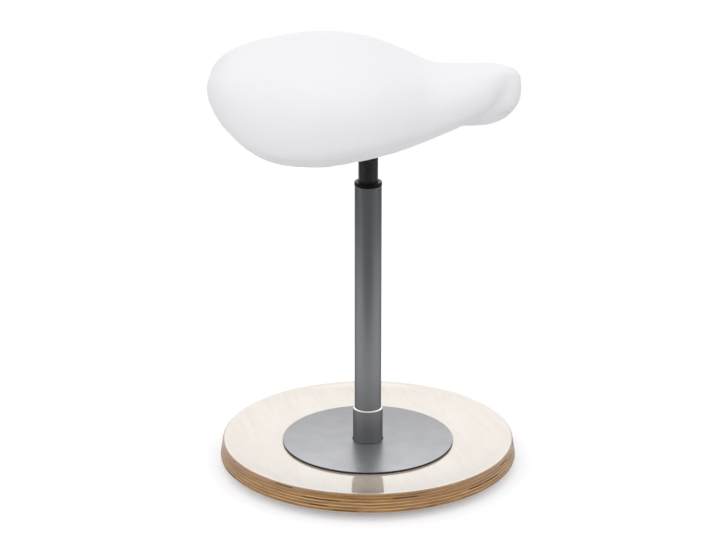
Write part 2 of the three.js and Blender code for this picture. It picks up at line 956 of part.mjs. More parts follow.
// A flanged nut let into the board from above, and the screw that holds the bracket to it.
function teeNut() {
  const bore = bracketFixing.shankRadius + gap;
  const top = board.thickness - gap;
  const shoulder = top - bracketFixing.nutFlangeThickness;
  return turned(
    [
      [bore, gap],
      [bracketFixing.nutRadius, gap],
      [bracketFixing.nutRadius, shoulder],
      [bracketFixing.nutFlangeRadius, shoulder],
      [bracketFixing.nutFlangeRadius, top],
      [bore, top],
      [bore, gap],
    ],
    smallRound,
  );
}

function bracketScrew() {
  const length = bracket.thickness + board.thickness - 2 * gap;
  const round = bracketFixing.headRound;
  const body = solid(
    turned(
      [
        [0, -bracketFixing.headHeight],
        [bracketFixing.headRadius - round, -bracketFixing.headHeight],
        [bracketFixing.headRadius, round - bracketFixing.headHeight],
        [bracketFixing.headRadius, 0],
        [bracketFixing.shankRadius, 0],
        [bracketFixing.shankRadius, length],
        [0, length],
      ],
      smallRound,
    ),
  );
  const drive = driveCut(bracketFixing.driveRadius, 2 * bracketFixing.driveDepth);
  return body.subtract(drive.translate([0, 0, -bracketFixing.headHeight]));
}

fixingPlaces.forEach(([x, y], i) => {
  const flangeBottom = boardBottom - bracket.thickness;
  add(rising, `tee_nut_${i + 1}`, teeNut(), "plainSteel", x, y, boardBottom);
  add(rising, `bracket_screw_${i + 1}`, bracketScrew(), "plainSteel", x, y, flangeBottom);
});

// The seat's form. Each row is a station along the pad, in shares of its length, half width and
// height: how far along, how wide, how high its top, how high its underside.
const padShares = [
  [0, 0, 0.58, 0.58],
  [0.02, 0.34, 0.77, 0.44],
  [0.075, 0.57, 0.885, 0.235],
  [0.19, 0.82, 0.965, 0.04],
  [0.355, 0.99, 1, 0],
  [0.515, 0.95, 0.95, 0.075],
  [0.645, 0.78, 0.845, 0.155],
  [0.75, 0.58, 0.765, 0.235],
  [0.85, 0.39, 0.77, 0.37],
  [0.93, 0.27, 0.785, 0.55],
  [0.98, 0.17, 0.775, 0.66],
  [1, 0, 0.71, 0.71],
];
// The deeper lobe under the nose, in the same shares.
const noseLobeShares = [
  [0.655, 0.2, 0.66, 0.24],
  [0.75, 0.217, 0.7, 0.217],
  [0.83, 0.217, 0.735, 0.21],
  [0.9, 0.207, 0.76, 0.238],
  [0.955, 0.177, 0.76, 0.315],
  [0.992, 0.12, 0.715, 0.427],
  [1.007, 0, 0.585, 0.585],
];
const padSection = { upperSquareness: 2.6, lowerSquareness: 2.2, edgeShare: 0.36 };
const lobeSection = { upperSquareness: 2.2, lowerSquareness: 2, edgeShare: 0.44 };
const padBottom = boardBottom - pad.skirtDrop;

// A closed form through stations. Inset draws its whole surface in.
function stationForm(shares, section, inset, rings, sides) {
  const column = (k) =>
    new THREE.SplineCurve(shares.map((row) => new THREE.Vector2(row[0], row[k])));
  const [widths, tops, bottoms] = [column(1), column(2), column(3)];
  const middle = pad.rear + pad.length / 2;
  const shrink = (pad.length / 2 - inset) / (pad.length / 2);
  const positions = [];
  for (let i = 0; i <= rings; i++) {
    const t = i / rings;
    const along = widths.getPoint(t).x;
    const x = middle + (pad.rear + pad.length * along - middle) * shrink;
    const width = Math.max(pad.halfWidth * widths.getPoint(t).y - inset, 0);
    const top = pad.height * tops.getPoint(t).y - inset;
    const bottom = pad.height * bottoms.getPoint(t).y + inset;
    const thick = Math.max(top - bottom, 0);
    const edge = thick > 0 ? bottom + section.edgeShare * thick : (top + bottom) / 2;
    for (let j = 0; j < sides; j++) {
      const angle = (2 * Math.PI * j) / sides;
      const [c, s] = [Math.cos(angle), Math.sin(angle)];
      const power = 2 / (c >= 0 ? section.upperSquareness : section.lowerSquareness);
      const rise = c >= 0 ? (1 - section.edgeShare) * thick : section.edgeShare * thick;
      const end = i === 0 || i === rings;
      const y = end ? 0 : width * Math.sign(s) * Math.abs(s) ** power;
      const z = end ? edge : edge + rise * Math.sign(c) * Math.abs(c) ** power;
      positions.push(x, y, padBottom + z);
    }
  }
  const index = [];
  for (let i = 0; i < rings; i++) {
    for (let j = 0; j < sides; j++) {
      const [a, b] = [i * sides + j, i * sides + ((j + 1) % sides)];
      index.push(a, b + sides, b, a, a + sides, b + sides);
    }
  }
  const geometry = new THREE.BufferGeometry();
  geometry.setAttribute("position", new THREE.Float32BufferAttribute(positions, 3));
  geometry.setIndex(index);
  return geometry;
}

const padRings = 22;
const padSides = 20;
const lobeRings = 9;
const lobeSides = 12;

function seatForm(inset) {
  const padForm = solid(stationForm(padShares, padSection, inset, padRings, padSides));
  return padForm.add(solid(stationForm(noseLobeShares, lobeSection, inset, lobeRings, lobeSides)));
}

const wellBelow = padBottom - cutOverrun;

// The foam, moulded over the board and down past its edge.
const boardPocket = ovalBlock(-gap, boardBottom - gap, boardTop + gap).add(
  tongueBlock(gap, boardBottom - gap, boardTop + gap),
);
const seatFoam = seatForm(cover.thickness + gap)
  .subtract(ovalBlock(-gap, wellBelow, boardTop + gap))
  .subtract(boardPocket);
add(rising, "seat_foam", seatFoam, "paleFoam");

// The stretch cover: over the foam, round the skirt's lower edge, up the recess and under the board.
const hemTop = boardBottom - gap;
const hemBottom = hemTop - cover.thickness;
const seatCover = seatForm(0)
  .subtract(ovalBlock(cover.thickness, wellBelow, hemBottom))
  .subtract(seatForm(cover.thickness).subtract(ovalBlock(0, wellBelow, hemTop)))
  .subtract(ovalBlock(cover.hemLap, wellBelow, boardBottom))
  .subtract(boardPocket);
add(rising, "seat_cover", seatCover, "whiteKnit");

// The elastic band that is sewn round the cover's hem.
const bandTop = hemBottom - gap;
const bandBottom = bandTop - hemBand.thickness;
const elasticHem = ovalBlock(cover.hemLap - hemBand.width, bandBottom, bandTop).subtract(
  ovalBlock(cover.hemLap, bandBottom - cutOverrun, bandTop + cutOverrun),
);
add(rising, "cover_hem_elastic", elasticHem, "whiteKnit");

export default stool;
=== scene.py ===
import math

import bmesh
import bpy
import numpy as np
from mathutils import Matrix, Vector


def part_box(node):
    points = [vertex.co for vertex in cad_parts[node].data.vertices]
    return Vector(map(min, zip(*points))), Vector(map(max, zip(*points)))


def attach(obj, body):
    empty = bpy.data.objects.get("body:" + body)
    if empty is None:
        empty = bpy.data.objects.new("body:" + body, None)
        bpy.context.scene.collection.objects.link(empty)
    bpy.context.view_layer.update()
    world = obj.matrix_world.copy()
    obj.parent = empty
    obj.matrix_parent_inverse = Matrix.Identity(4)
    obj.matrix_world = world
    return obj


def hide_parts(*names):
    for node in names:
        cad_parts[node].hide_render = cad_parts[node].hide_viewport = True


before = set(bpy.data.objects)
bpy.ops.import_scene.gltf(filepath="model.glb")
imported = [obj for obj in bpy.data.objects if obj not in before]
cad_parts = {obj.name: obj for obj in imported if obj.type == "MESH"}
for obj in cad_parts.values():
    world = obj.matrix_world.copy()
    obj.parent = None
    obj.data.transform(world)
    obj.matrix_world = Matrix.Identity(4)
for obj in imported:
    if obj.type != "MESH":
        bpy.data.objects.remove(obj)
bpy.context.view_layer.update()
mm = 0.001


# The camera stands in front of the stool with the seat's nose to its right, and looks down on it.
# Its place follows from the ellipses that the foot, the plate and the tubes make in the picture.
camera_place = Vector((-14.3, -3218.3, 1416.1)) * mm
camera_tilt = math.radians(19.24)
sensor_width = 36.0
focal_length = 120.67

camera_data = bpy.data.cameras.new("studio_camera")
camera_data.sensor_width = sensor_width
camera_data.lens = focal_length
camera = bpy.data.objects.new("studio_camera", camera_data)
camera.location = camera_place
camera.rotation_euler = (math.pi / 2 - camera_tilt, 0, 0)
bpy.context.scene.collection.objects.link(camera)
bpy.context.scene.camera = camera
bpy.context.scene.view_settings.view_transform = "Standard"


# The light is a white studio: a backdrop behind the stool, a dark room low down behind the camera,
# a softbox high behind the stool and a matt screen near the camera. The lacquered wood and the
# plate mirror the bright backdrop, and the upper tube mirrors the dark room.
mirrored_level = 2.6
backdrop_level = 0.95
horizon_level = 1.1
ceiling_level = 0.8
wall_level = 1.15
dark_room_level = 0.09
matt_room_level = 0.28
softbox_power = 6.0
softbox_width = 2.4
softbox_height = 1.2
softbox_place = Vector((-0.1, 1.9, 2.5))
softbox_aim = Vector((0, 0, 0.3))
screen_power = 24.0
screen_width = 3.6
screen_height = 1.8
screen_place = Vector((-0.3, -2.3, 1.15))
screen_aim = Vector((0, 0, 0.55))


def linear(hex_colour):
    """An sRGB hex colour as linear red, green, blue and alpha."""
    parts = [int(hex_colour[i : i + 2], 16) / 255 for i in (1, 3, 5)]
    return [p / 12.92 if p <= 0.04045 else ((p + 0.055) / 1.055) ** 2.4 for p in parts] + [1.0]


def add_node(tree, kind, values=(), **settings):
    """A node of a tree, with its inputs given by name or in order. A value that is another node, or
    an output of one, becomes a link."""
    made = tree.nodes.new(kind)
    for name, value in settings.items():
        setattr(made, name, value)
    for key, value in values.items() if isinstance(values, dict) else enumerate(values):
        if isinstance(value, bpy.types.Node):
            value = next(output for output in value.outputs if output.enabled)
        if isinstance(value, bpy.types.NodeSocket):
            tree.links.new(value, made.inputs[key])
        else:
            made.inputs[key].default_value = value
    return made


def studio_world():
    world = bpy.data.worlds.new("white_studio")
    world.use_nodes = True
    tree = world.node_tree
    tree.nodes.clear()
    direction = add_node(tree, "ShaderNodeTexCoord").outputs["Generated"]
    part = add_node(tree, "ShaderNodeSeparateXYZ", (direction,)).outputs
    path = add_node(tree, "ShaderNodeLightPath").outputs
    mirror, camera_ray = path["Is Glossy Ray"], path["Is Camera Ray"]
    fade = {"interpolation_type": "SMOOTHSTEP"}
    # the backdrop, and the walls and the ceiling round it
    back = add_node(tree, "ShaderNodeMapRange", (part["Y"], 0.3, 0.7), **fade)
    under_top = add_node(tree, "ShaderNodeMapRange", (part["Z"], 0.92, 0.75), **fade)
    behind = add_node(tree, "ShaderNodeMath", (back, under_top), operation="MULTIPLY")
    bright = (part["Z"], 0.0, 0.75, horizon_level, mirrored_level)
    bright = add_node(tree, "ShaderNodeMapRange", bright, **fade)
    backdrop = (mirror, 0.0, 1.0, backdrop_level, bright)
    backdrop = add_node(tree, "ShaderNodeMapRange", backdrop, **fade)
    sideways = add_node(tree, "ShaderNodeMath", (part["X"],), operation="ABSOLUTE")
    around = (sideways, 0.3, 0.9, ceiling_level, wall_level)
    around = add_node(tree, "ShaderNodeMapRange", around, **fade)
    level = add_node(tree, "ShaderNodeMapRange", (behind, 0.0, 1.0, around, backdrop), **fade)
    # the dark room, low in front and below the horizon
    matt_low = add_node(tree, "ShaderNodeMapRange", (part["Z"], 0.48, 0.24), **fade)
    mirrored_low = add_node(tree, "ShaderNodeMapRange", (part["Z"], 0.2, 0.06), **fade)
    low = add_node(tree, "ShaderNodeMapRange", (mirror, 0.0, 1.0, matt_low, mirrored_low), **fade)
    front = add_node(tree, "ShaderNodeMapRange", (part["Y"], -0.1, -0.65), **fade)
    in_front = add_node(tree, "ShaderNodeMath", (front, low), operation="MULTIPLY")
    low_down = add_node(tree, "ShaderNodeMapRange", (part["Z"], 0.04, -0.12), **fade)
    dark = add_node(tree, "ShaderNodeMath", (in_front, low_down), operation="MAXIMUM")
    room = (mirror, 0.0, 1.0, matt_room_level, dark_room_level)
    room = add_node(tree, "ShaderNodeMapRange", room, **fade)
    level = add_node(tree, "ShaderNodeMapRange", (dark, 0.0, 1.0, level, room), **fade)
    seen = add_node(tree, "ShaderNodeMapRange", (camera_ray, 0.0, 1.0, level, 1.0), **fade)
    shade = add_node(tree, "ShaderNodeBackground", {"Color": (1, 1, 1, 1), "Strength": seen})
    add_node(tree, "ShaderNodeOutputWorld", (shade,))
    return world


def studio_lamp(name, place, aim, width, height, power):
    data = bpy.data.lights.new(name, "AREA")
    data.shape = "RECTANGLE"
    data.size = width
    data.size_y = height
    data.energy = power
    lamp = bpy.data.objects.new(name, data)
    lamp.location = place
    lamp.rotation_euler = (aim - place).to_track_quat("-Z", "Y").to_euler()
    lamp.visible_camera = False
    bpy.context.scene.collection.objects.link(lamp)
    return lamp


bpy.context.scene.world = studio_world()
studio_lamp(
    "high_softbox", softbox_place, softbox_aim, softbox_width, softbox_height, softbox_power
)
screen = studio_lamp(
    "matt_screen", screen_place, screen_aim, screen_width, screen_height, screen_power
)
screen.visible_glossy = False


# The floor is a white table top that ends a little in front of the stool. The lower part of the tube
# mirrors it, and the upper part mirrors the dark room beyond its near edge.
floor_front = -0.7
floor_back = 1.6
floor_side = 1.15
floor_glow = 0.21  # seen by the camera alone, so that the lit floor comes out white


def studio_floor():
    mesh = bpy.data.meshes.new("table_top")
    corners = [(-1, floor_front), (1, floor_front), (1, floor_back), (-1, floor_back)]
    mesh.from_pydata([(x * floor_side, y, 0) for x, y in corners], [], [(0, 1, 2, 3)])
    material = bpy.data.materials.new("white_table_top")
    material.use_nodes = True
    tree = material.node_tree
    tree.nodes.clear()
    matt = add_node(tree, "ShaderNodeBsdfDiffuse", {"Color": linear("#f5f6f9")})
    seen = add_node(tree, "ShaderNodeLightPath").outputs["Is Camera Ray"]
    glow = add_node(tree, "ShaderNodeMath", (seen, floor_glow), operation="MULTIPLY")
    light = add_node(tree, "ShaderNodeEmission", {"Strength": glow})
    lit = add_node(tree, "ShaderNodeAddShader", (matt, light))
    # from below, the floor is see-through
    clear = add_node(tree, "ShaderNodeBsdfTransparent")
    underside = add_node(tree, "ShaderNodeNewGeometry").outputs["Backfacing"]
    below = add_node(tree, "ShaderNodeMath", (underside, seen), operation="MULTIPLY")
    shade = add_node(tree, "ShaderNodeMixShader", (below, lit, clear))
    add_node(tree, "ShaderNodeOutputMaterial", (shade,))
    mesh.materials.append(material)
    floor = bpy.data.objects.new("table_top", mesh)
    bpy.context.scene.collection.objects.link(floor)
    return floor


studio_floor()


# The grip pad is a disc of black rubber, glued under the flat middle of the foot. Its standing face
# has rings cut in it, so that it doesn't slide.
pad_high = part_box("grip_pad")[1]
pad_radius = pad_high.x
pad_edge_round = 0.5 * mm
pad_ring_pitch = 9 * mm
pad_ring_width = 2.4 * mm
pad_ring_depth = 0.8 * mm
rubber_bloom_size = 6 * mm
rubber_shine_size = 3 * mm
rubber_grain_size = 0.7 * mm
rubber_grain_depth = 0.1 * mm
same_place = 0.001 * mm  # corners nearer than this are one


def rounded_line(corners, steps=5, closed=True):
    """Points along a line whose corners are (x, y, radius) or (x, y), with arcs at the round ones."""
    found = []
    count = len(corners)
    for i, corner in enumerate(corners):
        here = Vector(corner[:2])
        radius = corner[2] if len(corner) > 2 else 0
        if radius == 0 or (not closed and i in (0, count - 1)):
            found.append(here)
            continue
        back = (Vector(corners[i - 1][:2]) - here).normalized()
        ahead = (Vector(corners[(i + 1) % count][:2]) - here).normalized()
        half = back.angle(ahead) / 2
        centre = here + (back + ahead).normalized() * (radius / math.sin(half))
        start = here + back * (radius / math.tan(half)) - centre
        end = here + ahead * (radius / math.tan(half)) - centre
        turn = start.angle_signed(end)
        for k in range(steps + 1):
            angle = -turn * k / steps
            c, s = math.cos(angle), math.sin(angle)
            found.append(centre + Vector((start.x * c - start.y * s, start.x * s + start.y * c)))
    return [tuple(p) for p in found]


def geometry_tree(name, inputs):
    """An empty geometry tree with these inputs, each with its kind, and one output."""
    tree = bpy.data.node_groups.new(name, "GeometryNodeTree")
    for title, kind in inputs.items():
        tree.interface.new_socket(name=title, in_out="INPUT", socket_type="NodeSocket" + kind)
    tree.interface.new_socket(name="Piece", in_out="OUTPUT", socket_type="NodeSocketGeometry")
    return tree, add_node(tree, "NodeGroupInput").outputs


def end_tree(tree, made, finish):
    """Ends a geometry tree in real faces with their material."""
    real = add_node(tree, "GeometryNodeRealizeInstances", (made,))
    done = add_node(tree, "GeometryNodeSetMaterial", {"Geometry": real, "Material": finish})
    add_node(tree, "NodeGroupOutput", (done,))


def lathe_tree():
    """Turns a profile, drawn in X and Z, about the Z axis."""
    inputs = {"Profile": "Geometry", "Steps round": "Int", "Finish": "Material"}
    tree, given = geometry_tree("turned_about_the_column", inputs)
    size = add_node(tree, "GeometryNodeAttributeDomainSize", (given["Profile"],))
    count = size.outputs["Point Count"]
    seam = add_node(tree, "ShaderNodeMath", (given["Steps round"], 1.0), operation="ADD")
    web = add_node(tree, "GeometryNodeMeshGrid", {"Vertices X": count, "Vertices Y": seam})
    share = add_node(tree, "ShaderNodeSeparateXYZ", (web.outputs["UV Map"],)).outputs
    last = add_node(tree, "ShaderNodeMath", (count, 1.0), operation="SUBTRACT")
    row = add_node(tree, "ShaderNodeMath", (share["X"], last), operation="MULTIPLY")
    row = add_node(tree, "ShaderNodeMath", (row,), operation="ROUND")
    turn = add_node(tree, "ShaderNodeMath", (share["Y"], 2 * math.pi), operation="MULTIPLY")
    place = add_node(tree, "GeometryNodeInputPosition")
    wanted = {"Geometry": given["Profile"], "Value": place, "Index": row}
    spot = add_node(tree, "GeometryNodeSampleIndex", wanted, data_type="FLOAT_VECTOR")
    swept = {"Vector": spot, "Angle": turn}
    swept = add_node(tree, "ShaderNodeVectorRotate", swept, rotation_type="Z_AXIS")
    placed = add_node(tree, "GeometryNodeSetPosition", {"Geometry": web, "Position": swept})
    joined = {"Geometry": placed, "Distance": same_place}
    end_tree(tree, add_node(tree, "GeometryNodeMergeByDistance", joined), given["Finish"])
    return tree


lathe = lathe_tree()


def linked(name, mesh):
    made = bpy.data.objects.new(name, mesh)
    bpy.context.scene.collection.objects.link(made)
    return made


def run_tree(piece, tree, values):
    """Gives a piece what a geometry tree makes of it, with the tree's inputs named in values."""
    modifier = piece.modifiers.new("make", "NODES")
    modifier.node_group = tree
    for item in tree.interface.items_tree:
        if item.in_out == "INPUT" and item.name in values:
            modifier[item.identifier] = values[item.name]
    settle(piece)


def settle(piece):
    """Turns a piece with its modifiers into a plain mesh."""
    bpy.context.view_layer.update()
    graph = bpy.context.evaluated_depsgraph_get()
    mesh = bpy.data.meshes.new_from_object(piece.evaluated_get(graph))
    piece.modifiers.clear()
    piece.data = mesh


def smooth(piece, angle=35):
    """Smooth shading, with edges sharper than the angle left crisp, and faces turned outwards."""
    build = bmesh.new()
    build.from_mesh(piece.data)
    bmesh.ops.recalc_face_normals(build, faces=build.faces)
    build.to_mesh(piece.data)
    build.free()
    piece.data.shade_smooth()
    piece.data.set_sharp_from_angle(angle=math.radians(angle))


def turned(name, profile, finish, steps=192):
    """A piece turned about the column's axis. The profile's points are (radius, height)."""
    mesh = bpy.data.meshes.new(name)
    points = [(radius, 0, height) for radius, height in profile]
    mesh.from_pydata(points, [(i, i + 1) for i in range(len(points) - 1)], [])
    piece = linked(name, mesh)
    run_tree(piece, lathe, {"Steps round": steps, "Finish": finish})
    smooth(piece)
    return piece


def closed(points):
    return points + points[:1]


def new_material(name):
    """A new material with an empty tree."""
    material = bpy.data.materials.new(name)
    material.use_nodes = True
    material.node_tree.nodes.clear()
    return material, material.node_tree


def speckled(tree, grain_size, low=0.0, high=1.0, detail=3.0):
    """A noise of that grain size, as a value between low and high."""
    place = add_node(tree, "ShaderNodeTexCoord").outputs["Object"]
    noise = {"Vector": place, "Scale": 1 / grain_size, "Detail": detail}
    noise = add_node(tree, "ShaderNodeTexNoise", noise)
    return add_node(tree, "ShaderNodeMapRange", (noise, 0.3, 0.7, low, high))


def mottled(name, tones, tone_size, roughness, shine_size, finish, grain=None):
    """A finish of two close tones in patches, with uneven roughness. Its grain, where it has one, is
    a size, a strength and a depth."""
    material, tree = new_material(name)
    finish = dict(finish, Roughness=speckled(tree, shine_size, *roughness))
    low, high = [linear(tone) for tone in tones]
    blend = {"Factor": speckled(tree, tone_size), "A": low, "B": high}
    finish["Base Color"] = add_node(tree, "ShaderNodeMix", blend, data_type="RGBA")
    if grain:
        size, strength, depth = grain
        relief = {"Height": speckled(tree, size), "Strength": strength, "Distance": depth}
        finish["Normal"] = add_node(tree, "ShaderNodeBump", relief)
    shader = add_node(tree, "ShaderNodeBsdfPrincipled", finish)
    add_node(tree, "ShaderNodeOutputMaterial", (shader,))
    return material


# compression-moulded SBR rubber: matt black with a dusty grey bloom
rubber = mottled(
    "compression_moulded_rubber",
    tones=("#202124", "#2b2c2f"),
    tone_size=rubber_bloom_size,
    roughness=(0.78, 0.92),
    shine_size=rubber_shine_size,
    finish={"IOR": 1.52},
    grain=(rubber_grain_size, 0.35, rubber_grain_depth),
)


def grip_pad_profile():
    top = pad_high.z
    corners = [(0, top), (pad_radius, top), (pad_radius, 0, pad_edge_round)]
    for i in range(int(pad_radius / pad_ring_pitch) - 1):
        outer = pad_radius - (i + 1) * pad_ring_pitch
        inner = outer - pad_ring_width
        corners += [(outer, 0), (outer, pad_ring_depth), (inner, pad_ring_depth), (inner, 0)]
    return rounded_line(corners + [(0, 0)], steps=2, closed=False)


grip_pad = turned("ringed_grip_pad", grip_pad_profile(), rubber)
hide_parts("grip_pad")
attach(grip_pad, "base")


# The foot is pressed from birch veneers in one dished mould: flat in the middle, with a rim that
# curves up. Its faces are whitened and lacquered, and its turned edge shows the bare brown plies.
foot_low, foot_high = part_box("plywood_foot")
foot_swell = 1.5 * mm  # the real edge stands out a little further than the solid's
foot_radius = foot_high.x + foot_swell
foot_bottom = foot_low.z
foot_thickness = 29 * mm
foot_land_radius = 128 * mm
foot_rim_rise = 11 * mm
foot_edge_lean = 4.5 * mm
foot_shoulder_round = 4 * mm
foot_heel_round = 3 * mm
foot_bore_radius = 14 * mm
foot_ply_count = 13
foot_grain_turn = math.radians(18)
foot_veneer = 1.3 * mm
thin_ply_share = 0.36
ply_waver_length = 45 * mm
streak_length = 18 * mm
streak_height = 0.42 * mm
smear_length = 48 * mm
smear_height = 2.4 * mm
core_gap_length = 110 * mm
core_gap_height = 500 * mm  # a gap keeps its place through the thickness of its ply
pore_width = 2.2 * mm
pore_length = 42 * mm
pore_depth = 0.15 * mm
flame_width = 26 * mm
flame_length = 150 * mm
dish_run = foot_radius - foot_land_radius
dish_radius = (dish_run**2 + foot_rim_rise**2) / (2 * foot_rim_rise)


def dish_height(radius):
    return dish_radius - math.sqrt(dish_radius**2 - max(radius - foot_land_radius, 0) ** 2)


def foot_profile():
    top_radius = foot_radius - foot_edge_lean
    steps = 14
    under = [
        (r, foot_bottom + dish_height(r))
        for r in np.linspace(foot_land_radius, foot_radius - 1.5 * foot_heel_round, steps)
    ]
    over = [
        (r, foot_bottom + foot_thickness + dish_height(r))
        for r in np.linspace(top_radius - 1.5 * foot_shoulder_round, foot_land_radius, steps)
    ]
    rim = [
        (foot_radius, foot_bottom + dish_height(foot_radius), foot_heel_round),
        (top_radius, foot_bottom + foot_thickness + dish_height(top_radius), foot_shoulder_round),
    ]
    edge = rounded_line([under[-2], *rim, over[1]], steps=8, closed=False)[1:-1]
    bore = [
        (foot_bore_radius, foot_bottom + foot_thickness),
        (foot_bore_radius, foot_bottom),
    ]
    return closed(bore[1:] + under[:-1] + edge + over[1:] + bore[:1])


def lacquered_birch():
    """Birch plywood under clear lacquer. The whitened face has faint pores along its grain; the edge
    shows plies by turns along and across the grain, their glue lines, and a few core gaps painted
    dark as their shade."""
    material, tree = new_material("lacquered_birch_plywood")
    place = add_node(tree, "ShaderNodeTexCoord").outputs["Object"]
    part = add_node(tree, "ShaderNodeSeparateXYZ", (place,)).outputs
    flat = add_node(tree, "ShaderNodeVectorMath", (place, (1, 1, 0)), operation="MULTIPLY")
    radius = add_node(tree, "ShaderNodeVectorMath", (flat,), operation="LENGTH")

    # how far up through the pressed stack a point lies, in pairs of plies, whose lines waver a little
    out = add_node(tree, "ShaderNodeMath", (radius, foot_land_radius), operation="SUBTRACT")
    out = add_node(tree, "ShaderNodeMath", (out, 0.0), operation="MAXIMUM")
    out = add_node(tree, "ShaderNodeMath", (out, out), operation="MULTIPLY")
    drop = add_node(tree, "ShaderNodeMath", (dish_radius**2, out), operation="SUBTRACT")
    drop = add_node(tree, "ShaderNodeMath", (drop,), operation="SQRT")
    rise = add_node(tree, "ShaderNodeMath", (dish_radius, drop), operation="SUBTRACT")
    through = add_node(tree, "ShaderNodeMath", (part["Z"], foot_bottom), operation="SUBTRACT")
    through = add_node(tree, "ShaderNodeMath", (through, rise), operation="SUBTRACT")
    turn = add_node(tree, "ShaderNodeMath", (part["Y"], part["X"]), operation="ARCTAN2")
    along_edge = add_node(tree, "ShaderNodeMath", (turn, foot_radius), operation="MULTIPLY")
    edge_place = add_node(tree, "ShaderNodeCombineXYZ", (along_edge, 0.0, through))
    waver = {"Vector": edge_place, "Scale": 1 / ply_waver_length, "Detail": 2.0}
    waver = add_node(tree, "ShaderNodeTexNoise", waver)
    waver = add_node(tree, "ShaderNodeMapRange", (waver, 0.0, 1.0, -0.125, 0.125))
    plies_up = foot_ply_count / (2 * foot_thickness)
    pairs = add_node(tree, "ShaderNodeMath", (through, plies_up, waver), operation="MULTIPLY_ADD")
    index = add_node(tree, "ShaderNodeMath", (pairs,), operation="FLOOR")
    inside = add_node(tree, "ShaderNodeMath", (pairs,), operation="FRACT")

    def edge_noise(length, height, detail, offset=0.0):
        """Noise that runs along the edge, another in each pair of plies."""
        row = add_node(tree, "ShaderNodeMath", (index, offset), operation="ADD")
        run = add_node(tree, "ShaderNodeMath", (along_edge, 1 / length), operation="MULTIPLY")
        up = add_node(tree, "ShaderNodeMath", (through, 1 / height), operation="MULTIPLY")
        spread = add_node(tree, "ShaderNodeCombineXYZ", (run, up, row))
        noise = {"Vector": spread, "Scale": 1.0, "Detail": detail, "Roughness": 0.6}
        return add_node(tree, "ShaderNodeTexNoise", noise)

    # where the veneers of the two faces lie
    inner, outer = foot_veneer, 0.6 * foot_veneer
    top_face = (through, foot_thickness - inner, foot_thickness - outer)
    top_face = add_node(tree, "ShaderNodeMapRange", top_face)
    bottom_face = add_node(tree, "ShaderNodeMapRange", (through, inner, outer))
    on_face = add_node(tree, "ShaderNodeMath", (top_face, bottom_face), operation="MAXIMUM")
    on_edge = add_node(tree, "ShaderNodeMath", (1.0, on_face), operation="SUBTRACT")

    # each pair of plies is a thin pale one, cut along its grain, and a thick dark one cut across
    across = (inside, thin_ply_share - 0.03, thin_ply_share + 0.03)
    across = add_node(tree, "ShaderNodeMapRange", across)
    shaded_top = (through, 0.45 * foot_thickness, 0.8 * foot_thickness, 0.0, 0.6)
    shaded_top = add_node(tree, "ShaderNodeMapRange", shaded_top)
    across = add_node(tree, "ShaderNodeMath", (across, shaded_top), operation="MAXIMUM")
    streaks = edge_noise(streak_length, streak_height, 3.0)
    streaks = add_node(tree, "ShaderNodeMapRange", (streaks, 0.3, 0.7))
    smears = edge_noise(smear_length, smear_height, 3.0, offset=31.7)
    smears = add_node(tree, "ShaderNodeMapRange", (smears, 0.38, 0.66, 0.0, 0.5))
    near_glue = add_node(tree, "ShaderNodeMath", (inside, thin_ply_share), operation="SUBTRACT")
    near_glue = add_node(tree, "ShaderNodeMath", (near_glue,), operation="ABSOLUTE")
    glue = add_node(tree, "ShaderNodeMath", (inside, 0.5), operation="PINGPONG")
    glue = add_node(tree, "ShaderNodeMath", (glue, near_glue), operation="MINIMUM")
    glue = add_node(tree, "ShaderNodeMapRange", (glue, 0.0, 0.06, 0.7, 0.0))
    # gaps in the core plies, a few centimetres long: real hollows, painted dark for the shade inside
    # them
    shaded_core_gap = edge_noise(core_gap_length, core_gap_height, 1.0, offset=101.9)
    shaded_core_gap = add_node(tree, "ShaderNodeMapRange", (shaded_core_gap, 0.58, 0.6))
    thick_middle = (1 + thin_ply_share) / 2
    depth = add_node(tree, "ShaderNodeMath", (inside, thick_middle), operation="SUBTRACT")
    depth = add_node(tree, "ShaderNodeMath", (depth,), operation="ABSOLUTE")
    depth = add_node(tree, "ShaderNodeMapRange", (depth, 0.07, 0.17, 1.0, 0.0))
    shaded_core_gap = add_node(tree, "ShaderNodeMath", (shaded_core_gap, depth), operation="MULTIPLY")
    hollow = add_node(tree, "ShaderNodeMath", (shaded_core_gap, on_edge), operation="MULTIPLY")
    filled = add_node(tree, "ShaderNodeMath", (1.0, hollow), operation="SUBTRACT")

    # the face veneer, with its grain a little off the seat's cross direction
    grained = {"Vector": place, "Angle": -foot_grain_turn}
    grained = add_node(tree, "ShaderNodeVectorRotate", grained, rotation_type="Z_AXIS")
    pores = {"Vector": grained, "Scale": (1 / pore_width, 1 / pore_length, 1.0)}
    pores = {"Vector": add_node(tree, "ShaderNodeMapping", pores), "Scale": 1.0}
    fibre = add_node(tree, "ShaderNodeTexNoise", {**pores, "Detail": 5.0, "Distortion": 0.4})
    pores = add_node(tree, "ShaderNodeMapRange", (fibre, 0.56, 0.75, 0.0, 0.55))
    flames = {"Vector": grained, "Scale": (1 / flame_width, 1 / flame_length, 1.0)}
    flames = {"Vector": add_node(tree, "ShaderNodeMapping", flames), "Scale": 1.0}
    flames = add_node(tree, "ShaderNodeTexNoise", {**flames, "Detail": 3.0, "Distortion": 0.8})
    flames = add_node(tree, "ShaderNodeMapRange", (flames, 0.35, 0.65))
    blend = {"Factor": flames, "A": linear("#bbad9d"), "B": linear("#c2b6a8")}
    face = add_node(tree, "ShaderNodeMix", blend, data_type="RGBA")
    blend = {"Factor": pores, "A": face, "B": linear("#a08f75")}
    face = add_node(tree, "ShaderNodeMix", blend, data_type="RGBA")

